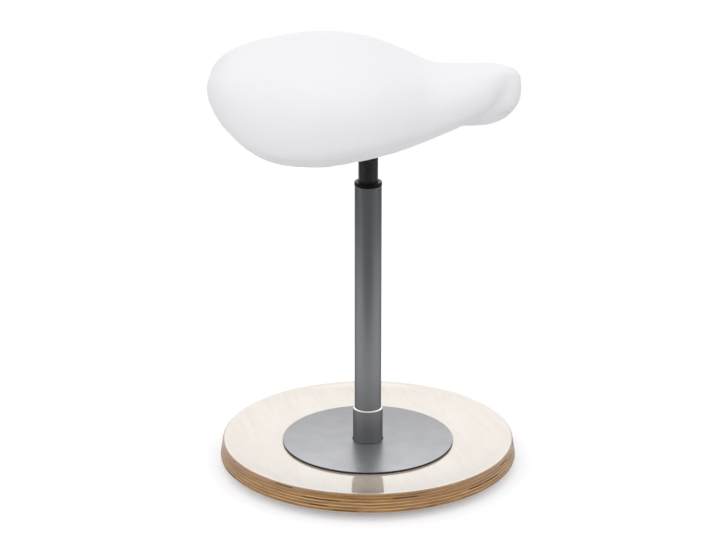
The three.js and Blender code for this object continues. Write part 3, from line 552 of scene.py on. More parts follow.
    # the colours, each laid over the last by its share
    blend = {"Factor": streaks, "A": linear("#bf925c"), "B": linear("#e4bb82")}
    colour = add_node(tree, "ShaderNodeMix", blend, data_type="RGBA")
    blend = {"Factor": streaks, "A": linear("#825729"), "B": linear("#ae824e")}
    brown_ply = add_node(tree, "ShaderNodeMix", blend, data_type="RGBA")
    layers = [(across, brown_ply), (smears, linear("#4a2a10")), (glue, linear("#47290f"))]
    # the core gaps' dark brown is painted shade of the hollows
    layers += [(shaded_core_gap, linear("#2a1303")), (on_face, face)]
    for share, over in layers:
        blend = {"Factor": share, "A": colour, "B": over}
        colour = add_node(tree, "ShaderNodeMix", blend, data_type="RGBA")

    # the lacquer is full on the faces and over the shoulder, and has sunk into the edge below
    gloss = (through, 0.65 * foot_thickness, 0.95 * foot_thickness, 0.3, 1.0)
    gloss = add_node(tree, "ShaderNodeMapRange", gloss)
    gloss = add_node(tree, "ShaderNodeMath", (gloss, on_face), operation="MAXIMUM")
    gloss = add_node(tree, "ShaderNodeMath", (gloss, filled), operation="MULTIPLY")
    shine = add_node(tree, "ShaderNodeMapRange", (on_face, 0.0, 1.0, 0.3, 0.5))
    shine = add_node(tree, "ShaderNodeMath", (shine, filled), operation="MULTIPLY")
    height = add_node(tree, "ShaderNodeMath", (fibre, 0.4), operation="MULTIPLY")
    height = add_node(tree, "ShaderNodeMath", (height, hollow), operation="SUBTRACT")
    relief = {"Height": height, "Strength": 0.25, "Distance": pore_depth}
    finish = {
        "Base Color": colour,
        "Roughness": add_node(tree, "ShaderNodeMapRange", (on_face, 0.0, 1.0, 0.5, 0.12)),
        "IOR": 1.5,
        "Specular IOR Level": shine,
        "Coat Weight": gloss,
        "Coat Roughness": 0.06,
        "Coat IOR": 1.75,
        "Normal": add_node(tree, "ShaderNodeBump", relief),
    }
    shader = add_node(tree, "ShaderNodeBsdfPrincipled", finish)
    add_node(tree, "ShaderNodeOutputMaterial", (shader,))
    return material


foot = turned("dished_plywood_foot", foot_profile(), lacquered_birch(), steps=256)
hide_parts("plywood_foot")
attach(foot, "base")


# The base plate is 3 mm steel, laser cut, ground and clear lacquered, so that it stays grey and
# satin. Countersunk screws from under the foot hold it by nuts that are welded beneath it.
plate_low, plate_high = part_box("base_plate")
plate_edge_round = 0.5 * mm
plate_bore_radius = 13.5 * mm
plate_low_round = 0.2 * mm
mill_cloud_size = 28 * mm
mill_patch_size = 12 * mm
mill_grain_size = 0.9 * mm
mill_grain_depth = 0.05 * mm
zinc_stain_size = 5 * mm
zinc_shine_size = 2 * mm


def lacquered_steel():
    """Ground mild steel under satin clear lacquer: cool grey, with a faint cloudiness of mill scale
    and a fine grain, an edge painted dark as a painted reflection of the dark room, and a mirror
    image that is soft-edged."""
    material, tree = new_material("satin_lacquered_steel")
    place = add_node(tree, "ShaderNodeTexCoord").outputs["Object"]
    flat = add_node(tree, "ShaderNodeVectorMath", (place, (1, 1, 0)), operation="MULTIPLY")
    radius = add_node(tree, "ShaderNodeVectorMath", (flat,), operation="LENGTH")
    # the outer edge is painted dark grey: a painted reflection of the dark room in front
    edge = plate_high.x - plate_edge_round
    painted_dark_edge = (radius, edge, edge + 0.6 * plate_edge_round)
    painted_dark_edge = add_node(tree, "ShaderNodeMapRange", painted_dark_edge)
    cloud = speckled(tree, mill_cloud_size, detail=4.0)
    tint = linear("#949597")
    for share, over in ((cloud, linear("#9d9da0")), (painted_dark_edge, linear("#3c3c3f"))):
        blend = {"Factor": share, "A": tint, "B": over}
        tint = add_node(tree, "ShaderNodeMix", blend, data_type="RGBA")
    grain = speckled(tree, mill_grain_size)
    relief = {"Height": grain, "Strength": 0.04, "Distance": mill_grain_depth}
    finish = {
        "Base Color": tint,
        "Metallic": 0.72,
        "Roughness": speckled(tree, mill_patch_size, 0.29, 0.34),
        "Specular Tint": linear("#b4b4b4"),
        "Normal": add_node(tree, "ShaderNodeBump", relief),
    }
    shader = add_node(tree, "ShaderNodeBsdfPrincipled", finish)
    add_node(tree, "ShaderNodeOutputMaterial", (shader,))
    return material


steel = lacquered_steel()
plate_profile = rounded_line(
    [
        (plate_bore_radius, plate_low.z),
        (plate_high.x, plate_low.z, plate_low_round),
        (plate_high.x, plate_high.z, plate_edge_round),
        (plate_bore_radius, plate_high.z),
    ]
)
plate = turned("round_base_plate", closed(plate_profile), steel)
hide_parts("base_plate")
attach(plate, "base")


# bright zinc-plated steel: pale, slightly blue, with a soft mirror and faint staining
zinc = mottled(
    "zinc_plated_steel",
    tones=("#aeb2b8", "#c6c8c8"),
    tone_size=zinc_stain_size,
    roughness=(0.24, 0.4),
    shine_size=zinc_shine_size,
    finish={"Metallic": 1.0},
)


def finish_nodes(material, *names):
    for name in names:
        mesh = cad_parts[name].data
        mesh.materials.clear()
        mesh.materials.append(material)


for i in range(1, 5):
    finish_nodes(zinc, f"weld_nut_{i}", f"plate_screw_{i}")


# The column's socket is a short sleeve that is welded to the plate. The stand tube is pushed into it
# and welded inside, and the sleeve's upper rim is faced bare and coloured near white, partly a
# painted highlight.
socket_low, socket_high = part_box("column_socket")
tube_low, tube_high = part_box("stand_tube")
socket_wall = 2.05 * mm
socket_rim_chamfer = 1.3 * mm
weld_size = 1.1 * mm
tube_wall = 2 * mm
tube_rim_round = 1.0 * mm
weld_round = 0.4 * mm
socket_rim_round = 0.3 * mm
draw_line_width = 1.2 * mm
draw_line_length = 90 * mm
draw_line_depth = 0.04 * mm
sleeve_fade = 0.1 * mm
socket_inner = socket_high.x - socket_wall


def turned_rim_steel():
    """The same lacquered steel, darker on the drawn tube, with faint lines along the draw, a dark
    weld at its foot, and the faced rim of the sleeve coloured near white: bare steel with a painted
    highlight."""
    material, tree = new_material("drawn_tube_steel")
    place = add_node(tree, "ShaderNodeTexCoord").outputs["Object"]
    part = add_node(tree, "ShaderNodeSeparateXYZ", (place,)).outputs
    flat = add_node(tree, "ShaderNodeVectorMath", (place, (1, 1, 0)), operation="MULTIPLY")
    radius = add_node(tree, "ShaderNodeVectorMath", (flat,), operation="LENGTH")
    rim_foot = socket_high.z - 1.2 * socket_rim_chamfer
    rim = (part["Z"], rim_foot, socket_high.z - socket_rim_chamfer)
    rim = add_node(tree, "ShaderNodeMapRange", rim)
    sleeve = (radius, socket_inner - sleeve_fade, socket_inner)
    sleeve = add_node(tree, "ShaderNodeMapRange", sleeve)
    # the faced rim is coloured near white, bare steel brightened further as a painted highlight
    bright = add_node(tree, "ShaderNodeMath", (rim, sleeve), operation="MULTIPLY")
    weld = (part["Z"], socket_low.z + weld_size, socket_low.z + 0.6 * weld_size)
    weld = add_node(tree, "ShaderNodeMapRange", weld)
    drawn = (1 / draw_line_width, 1 / draw_line_width, 1 / draw_line_length)
    drawn = add_node(tree, "ShaderNodeMapping", {"Vector": place, "Scale": drawn})
    line = {"Vector": drawn, "Scale": 1.0, "Detail": 3.0}
    line = add_node(tree, "ShaderNodeTexNoise", line)
    tint = linear("#85878b")
    for share, over in ((line, "#909295"), (bright, "#f4f4f4"), (weld, "#26262a")):
        blend = {"Factor": share, "A": tint, "B": linear(over)}
        tint = add_node(tree, "ShaderNodeMix", blend, data_type="RGBA")
    relief = {"Height": line, "Strength": 0.1, "Distance": draw_line_depth}
    finish = {
        "Base Color": tint,
        "Metallic": 0.88,
        "Roughness": add_node(tree, "ShaderNodeMapRange", (line, 0.0, 1.0, 0.28, 0.38)),
        "Specular Tint": linear("#8c8c8c"),
        "Normal": add_node(tree, "ShaderNodeBump", relief),
    }
    shader = add_node(tree, "ShaderNodeBsdfPrincipled", finish)
    add_node(tree, "ShaderNodeOutputMaterial", (shader,))
    return material


tube_steel = turned_rim_steel()
socket_profile = rounded_line(
    [
        (socket_inner, socket_low.z),
        (socket_high.x + weld_size, socket_low.z),
        (socket_high.x, socket_low.z + weld_size, weld_round),
        (socket_high.x, socket_high.z - socket_rim_chamfer, socket_rim_round),
        (socket_high.x - socket_rim_chamfer, socket_high.z, socket_rim_round),
        (socket_inner, socket_high.z),
    ]
)
socket = turned("welded_column_socket", closed(socket_profile), tube_steel, steps=128)
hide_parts("column_socket")
tube_profile = rounded_line(
    [
        (tube_high.x - tube_wall, tube_low.z),
        (tube_high.x, tube_low.z),
        (tube_high.x, tube_high.z, tube_rim_round),
        (tube_high.x - tube_wall, tube_high.z, tube_rim_round),
    ]
)
tube = turned("drawn_stand_tube", closed(tube_profile), tube_steel, steps=128)
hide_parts("stand_tube")
for piece in (socket, tube):
    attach(piece, "base")
finish_nodes(zinc, "tube_end_disc")


# The guide bush is moulded from black acetal and pushed into the tube's mouth. The gas spring slides
# in it, and its rounded collar shows above the tube.
bush_low, bush_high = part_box("guide_bush")
bush_bore_radius = 14.3 * mm
bush_sleeve_radius = 16.85 * mm
bush_collar_round = 2 * mm
bush_lip_round = 0.8 * mm
bush_lead_round = 0.5 * mm
bush_step_round = 0.4 * mm
acetal_tone_size = 9 * mm
acetal_shine_size = 3 * mm
spark_size = 0.5 * mm
spark_depth = 0.04 * mm


# injection-moulded acetal: black and smooth, with a soft highlight and a fine spark texture
acetal = mottled(
    "moulded_black_acetal",
    tones=("#08090a", "#0d0e0f"),
    tone_size=acetal_tone_size,
    roughness=(0.26, 0.34),
    shine_size=acetal_shine_size,
    finish={"IOR": 1.48, "Specular IOR Level": 0.2},
    grain=(spark_size, 0.12, spark_depth),
)
bush_profile = rounded_line(
    [
        (bush_bore_radius, bush_low.z),
        (bush_sleeve_radius, bush_low.z, bush_lead_round),
        (bush_sleeve_radius, tube_high.z),
        (bush_high.x, tube_high.z, bush_step_round),
        (bush_high.x, bush_high.z, bush_collar_round),
        (bush_bore_radius, bush_high.z, bush_lip_round),
    ]
)
bush = turned("collared_guide_bush", closed(bush_profile), acetal, steps=128)
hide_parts("guide_bush")
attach(bush, "base")


# The thrust bearing lies on the tube's end disc and carries the piston rod, so that the seat turns
# easily. Steel balls run in a moulded cage between two ground washers, all inside the tube.
finish_nodes(acetal, "bearing_cage", "rod_guide_seal")
finish_nodes(zinc, "lower_thrust_washer", "upper_thrust_washer", "end_washer", "retaining_clip")
finish_nodes(zinc, "piston_rod", "piston", "valve_housing", "valve_pin")
finish_nodes(rubber, "rubber_bumper")
for i in range(1, 9):
    finish_nodes(zinc, f"bearing_ball_{i}")


# The gas spring's cylinder is a drawn steel tube in black enamel. It slides in the bush, and its
# tapered top end is pressed into the socket under the seat.
cylinder_low, cylinder_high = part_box("gas_cylinder")
cylinder_radius = cylinder_high.x
cylinder_wall = 1.5 * mm
cylinder_end_round = 1.5 * mm
cylinder_cap_round = 2.5 * mm
cylinder_taper_length = 34 * mm
cylinder_taper_in = 0.8 * mm
rod_opening_radius = 8 * mm
pin_opening_radius = 3 * mm
opening_round = 0.4 * mm
cylinder_end = 3 * mm
cylinder_cap = 6 * mm
enamel_tone_size = 20 * mm
enamel_shine_size = 8 * mm
orange_peel_size = 1.6 * mm
orange_peel_depth = 0.05 * mm


# stoved black enamel on steel: smooth and half glossy, with a trace of orange peel
enamel = mottled(
    "stoved_black_enamel",
    tones=("#1f2022", "#27282a"),
    tone_size=enamel_tone_size,
    roughness=(0.24, 0.32),
    shine_size=enamel_shine_size,
    finish={"IOR": 1.55},
    grain=(orange_peel_size, 0.05, orange_peel_depth),
)
cylinder_top_radius = cylinder_radius - cylinder_taper_in
cylinder_inner = cylinder_radius - cylinder_wall
cylinder_profile = rounded_line(
    [
        (rod_opening_radius, cylinder_low.z, opening_round),
        (cylinder_radius, cylinder_low.z, cylinder_end_round),
        (cylinder_radius, cylinder_high.z - cylinder_taper_length),
        (cylinder_top_radius, cylinder_high.z, cylinder_cap_round),
        (pin_opening_radius, cylinder_high.z, opening_round),
        (pin_opening_radius, cylinder_high.z - cylinder_cap),
        (cylinder_inner - cylinder_taper_in, cylinder_high.z - cylinder_cap),
        (cylinder_inner, cylinder_high.z - cylinder_taper_length),
        (cylinder_inner, cylinder_low.z + cylinder_end),
        (rod_opening_radius, cylinder_low.z + cylinder_end),
    ]
)
cylinder = turned("enamelled_gas_cylinder", closed(cylinder_profile), enamel, steps=96)
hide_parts("gas_cylinder")
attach(cylinder, "seat")


# The bracket is pressed from 3 mm sheet: a flange that is screwed to the seat board, with a well that
# houses the lever. The taper socket is welded under the well, and both are powder coated.
bracket_low, bracket_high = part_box("seat_bracket")
sleeve_low, sleeve_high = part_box("taper_socket")
bracket_sheet = 3 * mm
bracket_corner = 12 * mm
well_half_length = 24 * mm
well_near = -26 * mm
well_far = 46 * mm
well_corner = 8 * mm
mouth_width = 15.6 * mm
throat_gap = 0.3 * mm
bracket_edge_round = 1.2 * mm
lug_inner = 7.8 * mm
lug_outer = 10.8 * mm
lug_half_length = 6.5 * mm
lug_above_pin = 5 * mm
lug_round = 0.6 * mm
cut_past = 1 * mm  # how far a cut goes past what it cuts
fixing_rear = -60 * mm
fixing_front = 34 * mm
fixing_side = 36 * mm
fixing_hole_radius = 3.9 * mm
fixing_places = [(fixing_rear, -fixing_side), (fixing_front, -fixing_side)]
fixing_places += [(fixing_front, fixing_side), (fixing_rear, fixing_side)]
sleeve_gap = 1.4 * mm
sleeve_top_gap = 0.6 * mm
sleeve_mouth_round = 0.5 * mm
sleeve_foot_round = 1 * mm
sleeve_weld = 1.5 * mm
coat_shine_size = 4 * mm
pebble_size = 0.8 * mm
pebble_depth = 0.08 * mm
sliver = 0.01 * mm  # what a cut leaves is cleared where its corners are nearer than this


# black polyester powder coat: an even, finely pebbled skin with a broad soft highlight
coat = mottled(
    "black_powder_coat",
    tones=("#1a1b1d", "#222326"),
    tone_size=pebble_size,
    roughness=(0.42, 0.52),
    shine_size=coat_shine_size,
    finish={"IOR": 1.52},
    grain=(pebble_size, 0.3, pebble_depth),
)


def slab(name, outline, low, high):
    """An upright prism on an outline of (x, y) points."""
    count = len(outline)
    points = [(x, y, z) for z in (low, high) for x, y in outline]
    faces = [tuple(range(count))[::-1], tuple(range(count, 2 * count))]
    faces += [(i, (i + 1) % count, (i + 1) % count + count, i + count) for i in range(count)]
    mesh = bpy.data.meshes.new(name)
    mesh.from_pydata(points, [], faces)
    return linked(name, mesh)


def rectangle(low_x, low_y, high_x, high_y, radius, steps=8):
    return rounded_line(
        [
            (low_x, low_y, radius),
            (high_x, low_y, radius),
            (high_x, high_y, radius),
            (low_x, high_y, radius),
        ],
        steps=steps,
    )


def circle(x, y, radius, steps=40):
    turns = [2 * math.pi * i / steps for i in range(steps)]
    return [(x + radius * math.cos(a), y + radius * math.sin(a)) for a in turns]


def combine(piece, other, operation):
    """Joins another piece to this one, or cuts it away, and removes it."""
    modifier = piece.modifiers.new("combine", "BOOLEAN")
    modifier.operation = operation
    modifier.object = other
    modifier.solver = "EXACT"
    settle(piece)
    bpy.data.objects.remove(other)


def ease_edges(piece, width, segments=3):
    """Rounds the edges of a piece that was cut from slabs."""
    build = bmesh.new()
    build.from_mesh(piece.data)
    bmesh.ops.remove_doubles(build, verts=build.verts, dist=sliver)
    bmesh.ops.dissolve_limit(
        build, angle_limit=math.radians(1), verts=build.verts, edges=build.edges
    )
    build.to_mesh(piece.data)
    build.free()
    modifier = piece.modifiers.new("ease", "BEVEL")
    modifier.width = width
    modifier.segments = segments
    modifier.limit_method = "ANGLE"
    modifier.angle_limit = math.radians(40)
    settle(piece)


def give_finish(piece, material):
    piece.data.materials.clear()
    piece.data.materials.append(material)


def pressed_bracket():
    flange_low = bracket_high.z - bracket_sheet
    piece = slab(
        "pressed_seat_bracket",
        rectangle(bracket_low.x, bracket_low.y, bracket_high.x, bracket_high.y, bracket_corner),
        flange_low,
        bracket_high.z,
    )
    well = rectangle(-well_half_length, well_near, well_half_length, well_far, well_corner)
    combine(piece, slab("well", well, bracket_low.z, bracket_high.z), "UNION")
    hollow = rectangle(
        bracket_sheet - well_half_length,
        well_near + bracket_sheet,
        well_half_length - bracket_sheet,
        well_far - bracket_sheet,
        well_corner - bracket_sheet,
    )
    combine(
        piece,
        slab("hollow", hollow, bracket_low.z + bracket_sheet, bracket_high.z + bracket_sheet),
        "DIFFERENCE",
    )
    ease_edges(piece, bracket_edge_round)
    mouth = rectangle(
        -mouth_width / 2, well_far - 2 * bracket_sheet, mouth_width / 2, well_far + bracket_sheet, 0
    )
    combine(
        piece,
        slab("mouth", mouth, bracket_low.z + bracket_sheet, flange_low),
        "DIFFERENCE",
    )
    throat = circle(0, 0, cylinder_top_radius + throat_gap)
    combine(
        piece,
        slab("throat", throat, bracket_low.z - cut_past, bracket_low.z + 2 * bracket_sheet),
        "DIFFERENCE",
    )
    for x, y in fixing_places:
        hole = circle(x, y, fixing_hole_radius, steps=24)
        hole = slab("hole", hole, flange_low - cut_past, bracket_high.z + cut_past)
        combine(piece, hole, "DIFFERENCE")
    # two lugs that carry the lever's pin
    pin_low, pin_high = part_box("lever_pivot_pin")
    pin_middle = (pin_low + pin_high) / 2
    for side in (-1, 1):
        near, far = sorted((side * lug_inner, side * lug_outer))
        start, end = pin_middle.y - lug_half_length, pin_middle.y + lug_half_length
        lug = rectangle(near, start, far, end, lug_round, steps=2)
        foot_height, head_height = bracket_low.z + bracket_sheet / 2, pin_middle.z + lug_above_pin
        combine(piece, slab("lug", lug, foot_height, head_height), "UNION")
    smooth(piece)
    give_finish(piece, coat)
    return piece


bracket = pressed_bracket()
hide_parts("seat_bracket")
sleeve_profile = rounded_line(
    [
        (cylinder_top_radius + sleeve_gap, sleeve_low.z, sleeve_mouth_round),
        (sleeve_high.x, sleeve_low.z, sleeve_foot_round),
        (sleeve_high.x, sleeve_high.z - sleeve_weld),
        (sleeve_high.x + sleeve_weld, sleeve_high.z),
        (cylinder_top_radius + sleeve_top_gap, sleeve_high.z),
    ]
)
sleeve = turned("welded_taper_socket", closed(sleeve_profile), coat, steps=96)
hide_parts("taper_socket")
for piece in (bracket, sleeve):
    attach(piece, "seat")
finish_nodes(zinc, "lever_pivot_pin")


# The release lever is a cranked strip of plated steel on a pin in the well. Lifting its moulded
# handle presses the gas spring's valve pin down.
lever_low, lever_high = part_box("release_lever")
handle_low, handle_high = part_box("lever_handle")
lever_width = 14 * mm
lever_sheet = 4 * mm
lever_bend_start = 50 * mm
lever_bend_end = 70 * mm
lever_bend_round = 6 * mm
handle_corner = 8 * mm
handle_edge_round = 2.5 * mm
handle_rib_count = 6
handle_rib_pitch = 4.2 * mm
handle_rib_radius = 1.1 * mm
handle_rib_sink = 0.5 * mm
lever_edge_round = 0.6 * mm


def cranked_strip():
    pin_low, pin_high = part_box("lever_pivot_pin")
    upper = (pin_low.z + pin_high.z) / 2
    lower = (handle_low.z + handle_high.z) / 2
    line = [
        (lever_low.y, upper),
        (lever_bend_start, upper, lever_bend_round),
        (lever_bend_end, lower, lever_bend_round),
        (lever_high.y, lower),
    ]
    half = lever_sheet / 2
    lean = math.atan2(lower - upper, lever_bend_end - lever_bend_start)
    shift = half * math.tan(lean / 2)
    over = [(line[0][0], upper + half)]
    over += [(line[1][0] - shift, upper + half, lever_bend_round + half)]
    over += [(line[2][0] - shift, lower + half, lever_bend_round - half)]
    over += [(line[3][0], lower + half)]
    under = [(line[3][0], lower - half)]
    under += [(line[2][0] + shift, lower - half, lever_bend_round + half)]
    under += [(line[1][0] + shift, upper - half, lever_bend_round - half)]
    under += [(line[0][0], upper - half)]
    outline = rounded_line(over + under, steps=6)
    piece = slab("cranked_release_lever", outline, -lever_width / 2, lever_width / 2)
    for v in piece.data.vertices:
        y, z, x = v.co
        v.co = (x, y, z)
    ease_edges(piece, lever_edge_round, segments=2)
    smooth(piece)
    give_finish(piece, zinc)
    return piece


lever = cranked_strip()
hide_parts("release_lever")
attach(lever, "lever")


def rib_tree():
    """Repeats the ribs of a grip along Y and joins them to it."""
    inputs = {"Grip": "Geometry"}
    inputs.update({name: "Float" for name in ("Length", "Radius", "Pitch", "Start", "Height")})
    inputs.update({"Count": "Int", "Finish": "Material"})
    tree, given = geometry_tree("moulded_grip_ribs", inputs)
    bar = {"Vertices": 16, "Radius": given["Radius"], "Depth": given["Length"]}
    bar = add_node(tree, "GeometryNodeMeshCylinder", bar)
    laid = {"Geometry": bar, "Rotation": (0, math.pi / 2, 0)}
    laid = add_node(tree, "GeometryNodeTransform", laid)
    step = add_node(tree, "ShaderNodeCombineXYZ", {1: given["Pitch"]})
    start = add_node(tree, "ShaderNodeCombineXYZ", {1: given["Start"], 2: given["Height"]})
    row = {"Count": given["Count"], "Start Location": start, "Offset": step}
    row = add_node(tree, "GeometryNodeMeshLine", row)
    ribs = add_node(tree, "GeometryNodeInstanceOnPoints", {"Points": row, "Instance": laid})
    both = add_node(tree, "GeometryNodeJoinGeometry", (given["Grip"],))
    tree.links.new(ribs.outputs[0], both.inputs[0])
    end_tree(tree, both, given["Finish"])
    return tree


def moulded_handle():
    outline = rectangle(handle_low.x, handle_low.y, handle_high.x, handle_high.y, handle_corner)
    piece = slab("ribbed_lever_handle", outline, handle_low.z, handle_high.z)
    ease_edges(piece, handle_edge_round, segments=5)
    middle = (handle_low.y + handle_high.y) / 2
    reach = handle_rib_pitch * (handle_rib_count - 1)
    run_tree(
        piece,
        rib_tree(),
        {
            "Length": handle_high.x - handle_low.x - 1.2 * handle_corner,
            "Radius": handle_rib_radius,
            "Pitch": handle_rib_pitch,
            "Start": middle - reach / 2,
            "Height": handle_low.z + handle_rib_sink,
            "Count": handle_rib_count,
            "Finish": acetal,
        },
    )
    smooth(piece)
    return piece


handle = moulded_handle()
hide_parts("lever_handle")
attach(handle, "lever")


# The seat board is 12 mm birch plywood: an oval with a tongue that stiffens the nose. The bracket is
# screwed to it with four button-head screws in tee nuts.
board_low, board_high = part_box("seat_board")
board_centre = -45 * mm
board_half_length = 112 * mm
board_half_width = 146 * mm
board_squareness = 2.3
tongue_half_width = 18 * mm
tongue_tip_flat = 0.2 * mm
board_edge_round = 0.8 * mm
board_grain_length = 60 * mm
board_grain_width = 2.5 * mm
board_grain_height = 1.4 * mm
board_grain_depth = 0.1 * mm
screw_head_radius = 7 * mm
screw_head_height = 4 * mm
screw_crown_radius = 3.6 * mm
screw_crown_round = 2.4 * mm
screw_rim_height = 1.2 * mm
screw_rim_round = 0.2 * mm
screw_shank_radius = 3.6 * mm
screw_length = 14 * mm
screw_key_radius = 2.5 * mm
screw_key_floor = 1.6 * mm


def oval(inset=0.0, steps=180):
    """The board's outline, drawn in by the inset."""
    power = 2 / board_squareness
    found = []
    for i in range(steps):
        c, s = math.cos(2 * math.pi * i / steps), math.sin(2 * math.pi * i / steps)
        along = math.copysign(abs(c) ** power, c)
        across = math.copysign(abs(s) ** power, s)
        found.append(
            (
                board_centre + (board_half_length - inset) * along,
                (board_half_width - inset) * across,
            )
        )
    return found


def bare_birch():
    """Sanded birch plywood, unfinished: a warm pale tan face with brown pores along the grain."""
    material, tree = new_material("sanded_birch_plywood")
    place = add_node(tree, "ShaderNodeTexCoord").outputs["Object"]
    scale = (1 / board_grain_length, 1 / board_grain_width, 1 / board_grain_height)
    along = add_node(tree, "ShaderNodeMapping", {"Vector": place, "Scale": scale})
    grain = {"Vector": along, "Scale": 1.0, "Detail": 5.0, "Distortion": 0.5}
    grain = add_node(tree, "ShaderNodeTexNoise", grain)
    relief = {"Height": grain, "Strength": 0.3, "Distance": board_grain_depth}
    blend = {"Factor": grain, "A": linear("#a97f52"), "B": linear("#dcbb8f")}
    finish = {
        "Base Color": add_node(tree, "ShaderNodeMix", blend, data_type="RGBA"),
        "Roughness": 0.62,
        "IOR": 1.5,
        "Normal": add_node(tree, "ShaderNodeBump", relief),
    }
    shader = add_node(tree, "ShaderNodeBsdfPrincipled", finish)
    add_node(tree, "ShaderNodeOutputMaterial", (shader,))
    return material


def seat_board_piece():
    piece = slab("oval_seat_board", oval(), board_low.z, board_high.z)
    tongue = rectangle(
        board_centre,
        -tongue_half_width,
        board_high.x,
        tongue_half_width,
        tongue_half_width - tongue_tip_flat,
    )
    combine(piece, slab("tongue", tongue, board_low.z, board_high.z), "UNION")
    ease_edges(piece, board_edge_round, segments=2)
    smooth(piece)
    give_finish(piece, bare_birch())
    return piece


seat_board = seat_board_piece()
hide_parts("seat_board")
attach(seat_board, "seat")
for i in range(1, 5):
    finish_nodes(zinc, f"tee_nut_{i}")


def fixing_tree():
    """Sets a copy of a screw at each of the places it is given."""
    inputs = {"Places": "Geometry", "Screw": "Object", "Finish": "Material"}
    tree, given = geometry_tree("screws_in_their_places", inputs)
    screw = add_node(tree, "GeometryNodeObjectInfo", {"Object": given["Screw"]})
    spin = {"Max": (0.0, 0.0, 2 * math.pi), "Seed": 4}
    spin = add_node(tree, "FunctionNodeRandomValue", spin, data_type="FLOAT_VECTOR")
    copies = {"Points": given["Places"], "Instance": screw.outputs["Geometry"], "Rotation": spin}
    copies = add_node(tree, "GeometryNodeInstanceOnPoints", copies)
    end_tree(tree, copies, given["Finish"])
    return tree


def button_head_screw():
    """A screw with its head down, the underside of its head at height zero."""
    profile = rounded_line(
        [
            (0, -screw_head_height),
            (screw_crown_radius, -screw_head_height),
            (screw_head_radius, -screw_rim_height, screw_crown_round),
            (screw_head_radius, 0, screw_rim_round),
            (screw_shank_radius, 0),
            (screw_shank_radius, screw_length),
            (0, screw_length),
        ],
        closed=False,
    )
    screw = turned("screw", profile, zinc, steps=48)
    key = circle(0, 0, screw_key_radius, steps=6)
    combine(screw, slab("key", key, -2 * screw_head_height, -screw_key_floor), "DIFFERENCE")
    smooth(screw, 30)
    return screw


def bracket_screws():
    mesh = bpy.data.meshes.new("bracket_screws")
    height = bracket_high.z - bracket_sheet
    mesh.from_pydata([(x, y, height) for x, y in fixing_places], [], [])
    piece = linked("button_head_screws", mesh)
    screw = button_head_screw()
    run_tree(piece, fixing_tree(), {"Screw": screw, "Finish": zinc})
    bpy.data.objects.remove(screw)
    smooth(piece, 30)
    return piece


screws = bracket_screws()
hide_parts(*[f"bracket_screw_{i}" for i in range(1, 5)])
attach(screws, "seat")


# The seat is moulded foam in a white stretch-knit cover: a broad pad that narrows to a nose, with a
# deeper lobe under the nose. The knit is drawn tight, so it bridges hollows and swells between them.
pad_rear = -226 * mm
pad_length = 435 * mm
pad_half_width = 198 * mm
pad_height = 143 * mm
skirt_depth = 38 * mm
pad_bottom = board_low.z - skirt_depth
foam_inset = 1.0 * mm
voxel = 4.5 * mm
recess_over_board = 1 * mm
recess_clearance = 0.5 * mm
recess_overrun = 20 * mm
recess_top = board_high.z + recess_over_board
held_beside = 3 * mm
held_above = 4 * mm
cloth_pressure = 4.0
cloth_tension = 12
cloth_bending = 0.4
cloth_frames = 20
most_swell = 4.0 * mm
first_relax_rounds = 3
hollow_rounds = 14
last_relax_rounds = 12
rear_place = (pad_rear, 0, pad_bottom + 0.63 * pad_height)
rear_reach = 140 * mm
rear_rounds = 30
loop_width = 1.3 * mm
loop_depth = 0.12 * mm
slub_size = 5 * mm
pucker_along = 189 * mm
pucker_side = 31 * mm
pucker_height = pad_bottom + 0.37 * pad_height
pucker_place = Vector((pucker_along, pucker_side, pucker_height))
pucker_reach = 22 * mm
pucker_pitch = 2.8 * mm
pucker_depth = 0.25 * mm
pucker_waver = 9 * mm
# Stations along the pad, in shares of its length, half width and height: how far along, how wide,
# how high its top, how high its underside.
pad_shares = [
    (-0.004, 0, 0.63, 0.63),
    (-0.002, 0.14, 0.69, 0.585),
    (0.016, 0.35, 0.765, 0.5),
    (0.075, 0.61, 0.866, 0.275),
    (0.19, 0.84, 0.95, 0.015),
    (0.355, 0.99, 1, -0.025),
    (0.515, 0.95, 0.95, 0.06),
    (0.645, 0.765, 0.825, 0.17),
    (0.705, 0.64, 0.757, 0.212),
    (0.755, 0.545, 0.737, 0.25),
    (0.84, 0.415, 0.75, 0.325),
    (0.895, 0.34, 0.765, 0.4),
    (0.935, 0.26, 0.77, 0.51),
    (0.965, 0.17, 0.75, 0.6),
    (0.98, 0, 0.69, 0.69),
]
lobe_shares = [
    (0.655, 0.2, 0.66, 0.26),
    (0.75, 0.217, 0.69, 0.24),
    (0.83, 0.217, 0.72, 0.235),
    (0.9, 0.215, 0.755, 0.245),
    (0.955, 0.21, 0.768, 0.28),
    (0.99, 0.18, 0.745, 0.355),
    (1.01, 0.12, 0.7, 0.44),
    (1.018, 0, 0.57, 0.57),
]
pad_section = (2.6, 2.35, 0.36)  # squareness above and below the widest line, and its height share
lobe_section = (2.2, 2.0, 0.44)


def through_stations(shares, steps):
    """Even steps along a smooth line through the stations."""
    rows = np.array(shares, float)
    found = []
    for i in range(steps + 1):
        place = (len(rows) - 1) * i / steps
        at = min(int(place), len(rows) - 1)
        t = place - at
        p0, p1 = rows[max(at - 1, 0)], rows[at]
        p2, p3 = rows[min(at + 1, len(rows) - 1)], rows[min(at + 2, len(rows) - 1)]
        v0, v1 = (p2 - p0) / 2, (p3 - p1) / 2
        found.append(
            (2 * p1 - 2 * p2 + v0 + v1) * t**3 + (-3 * p1 + 3 * p2 - 2 * v0 - v1) * t**2 + v0 * t + p1
        )
    return found


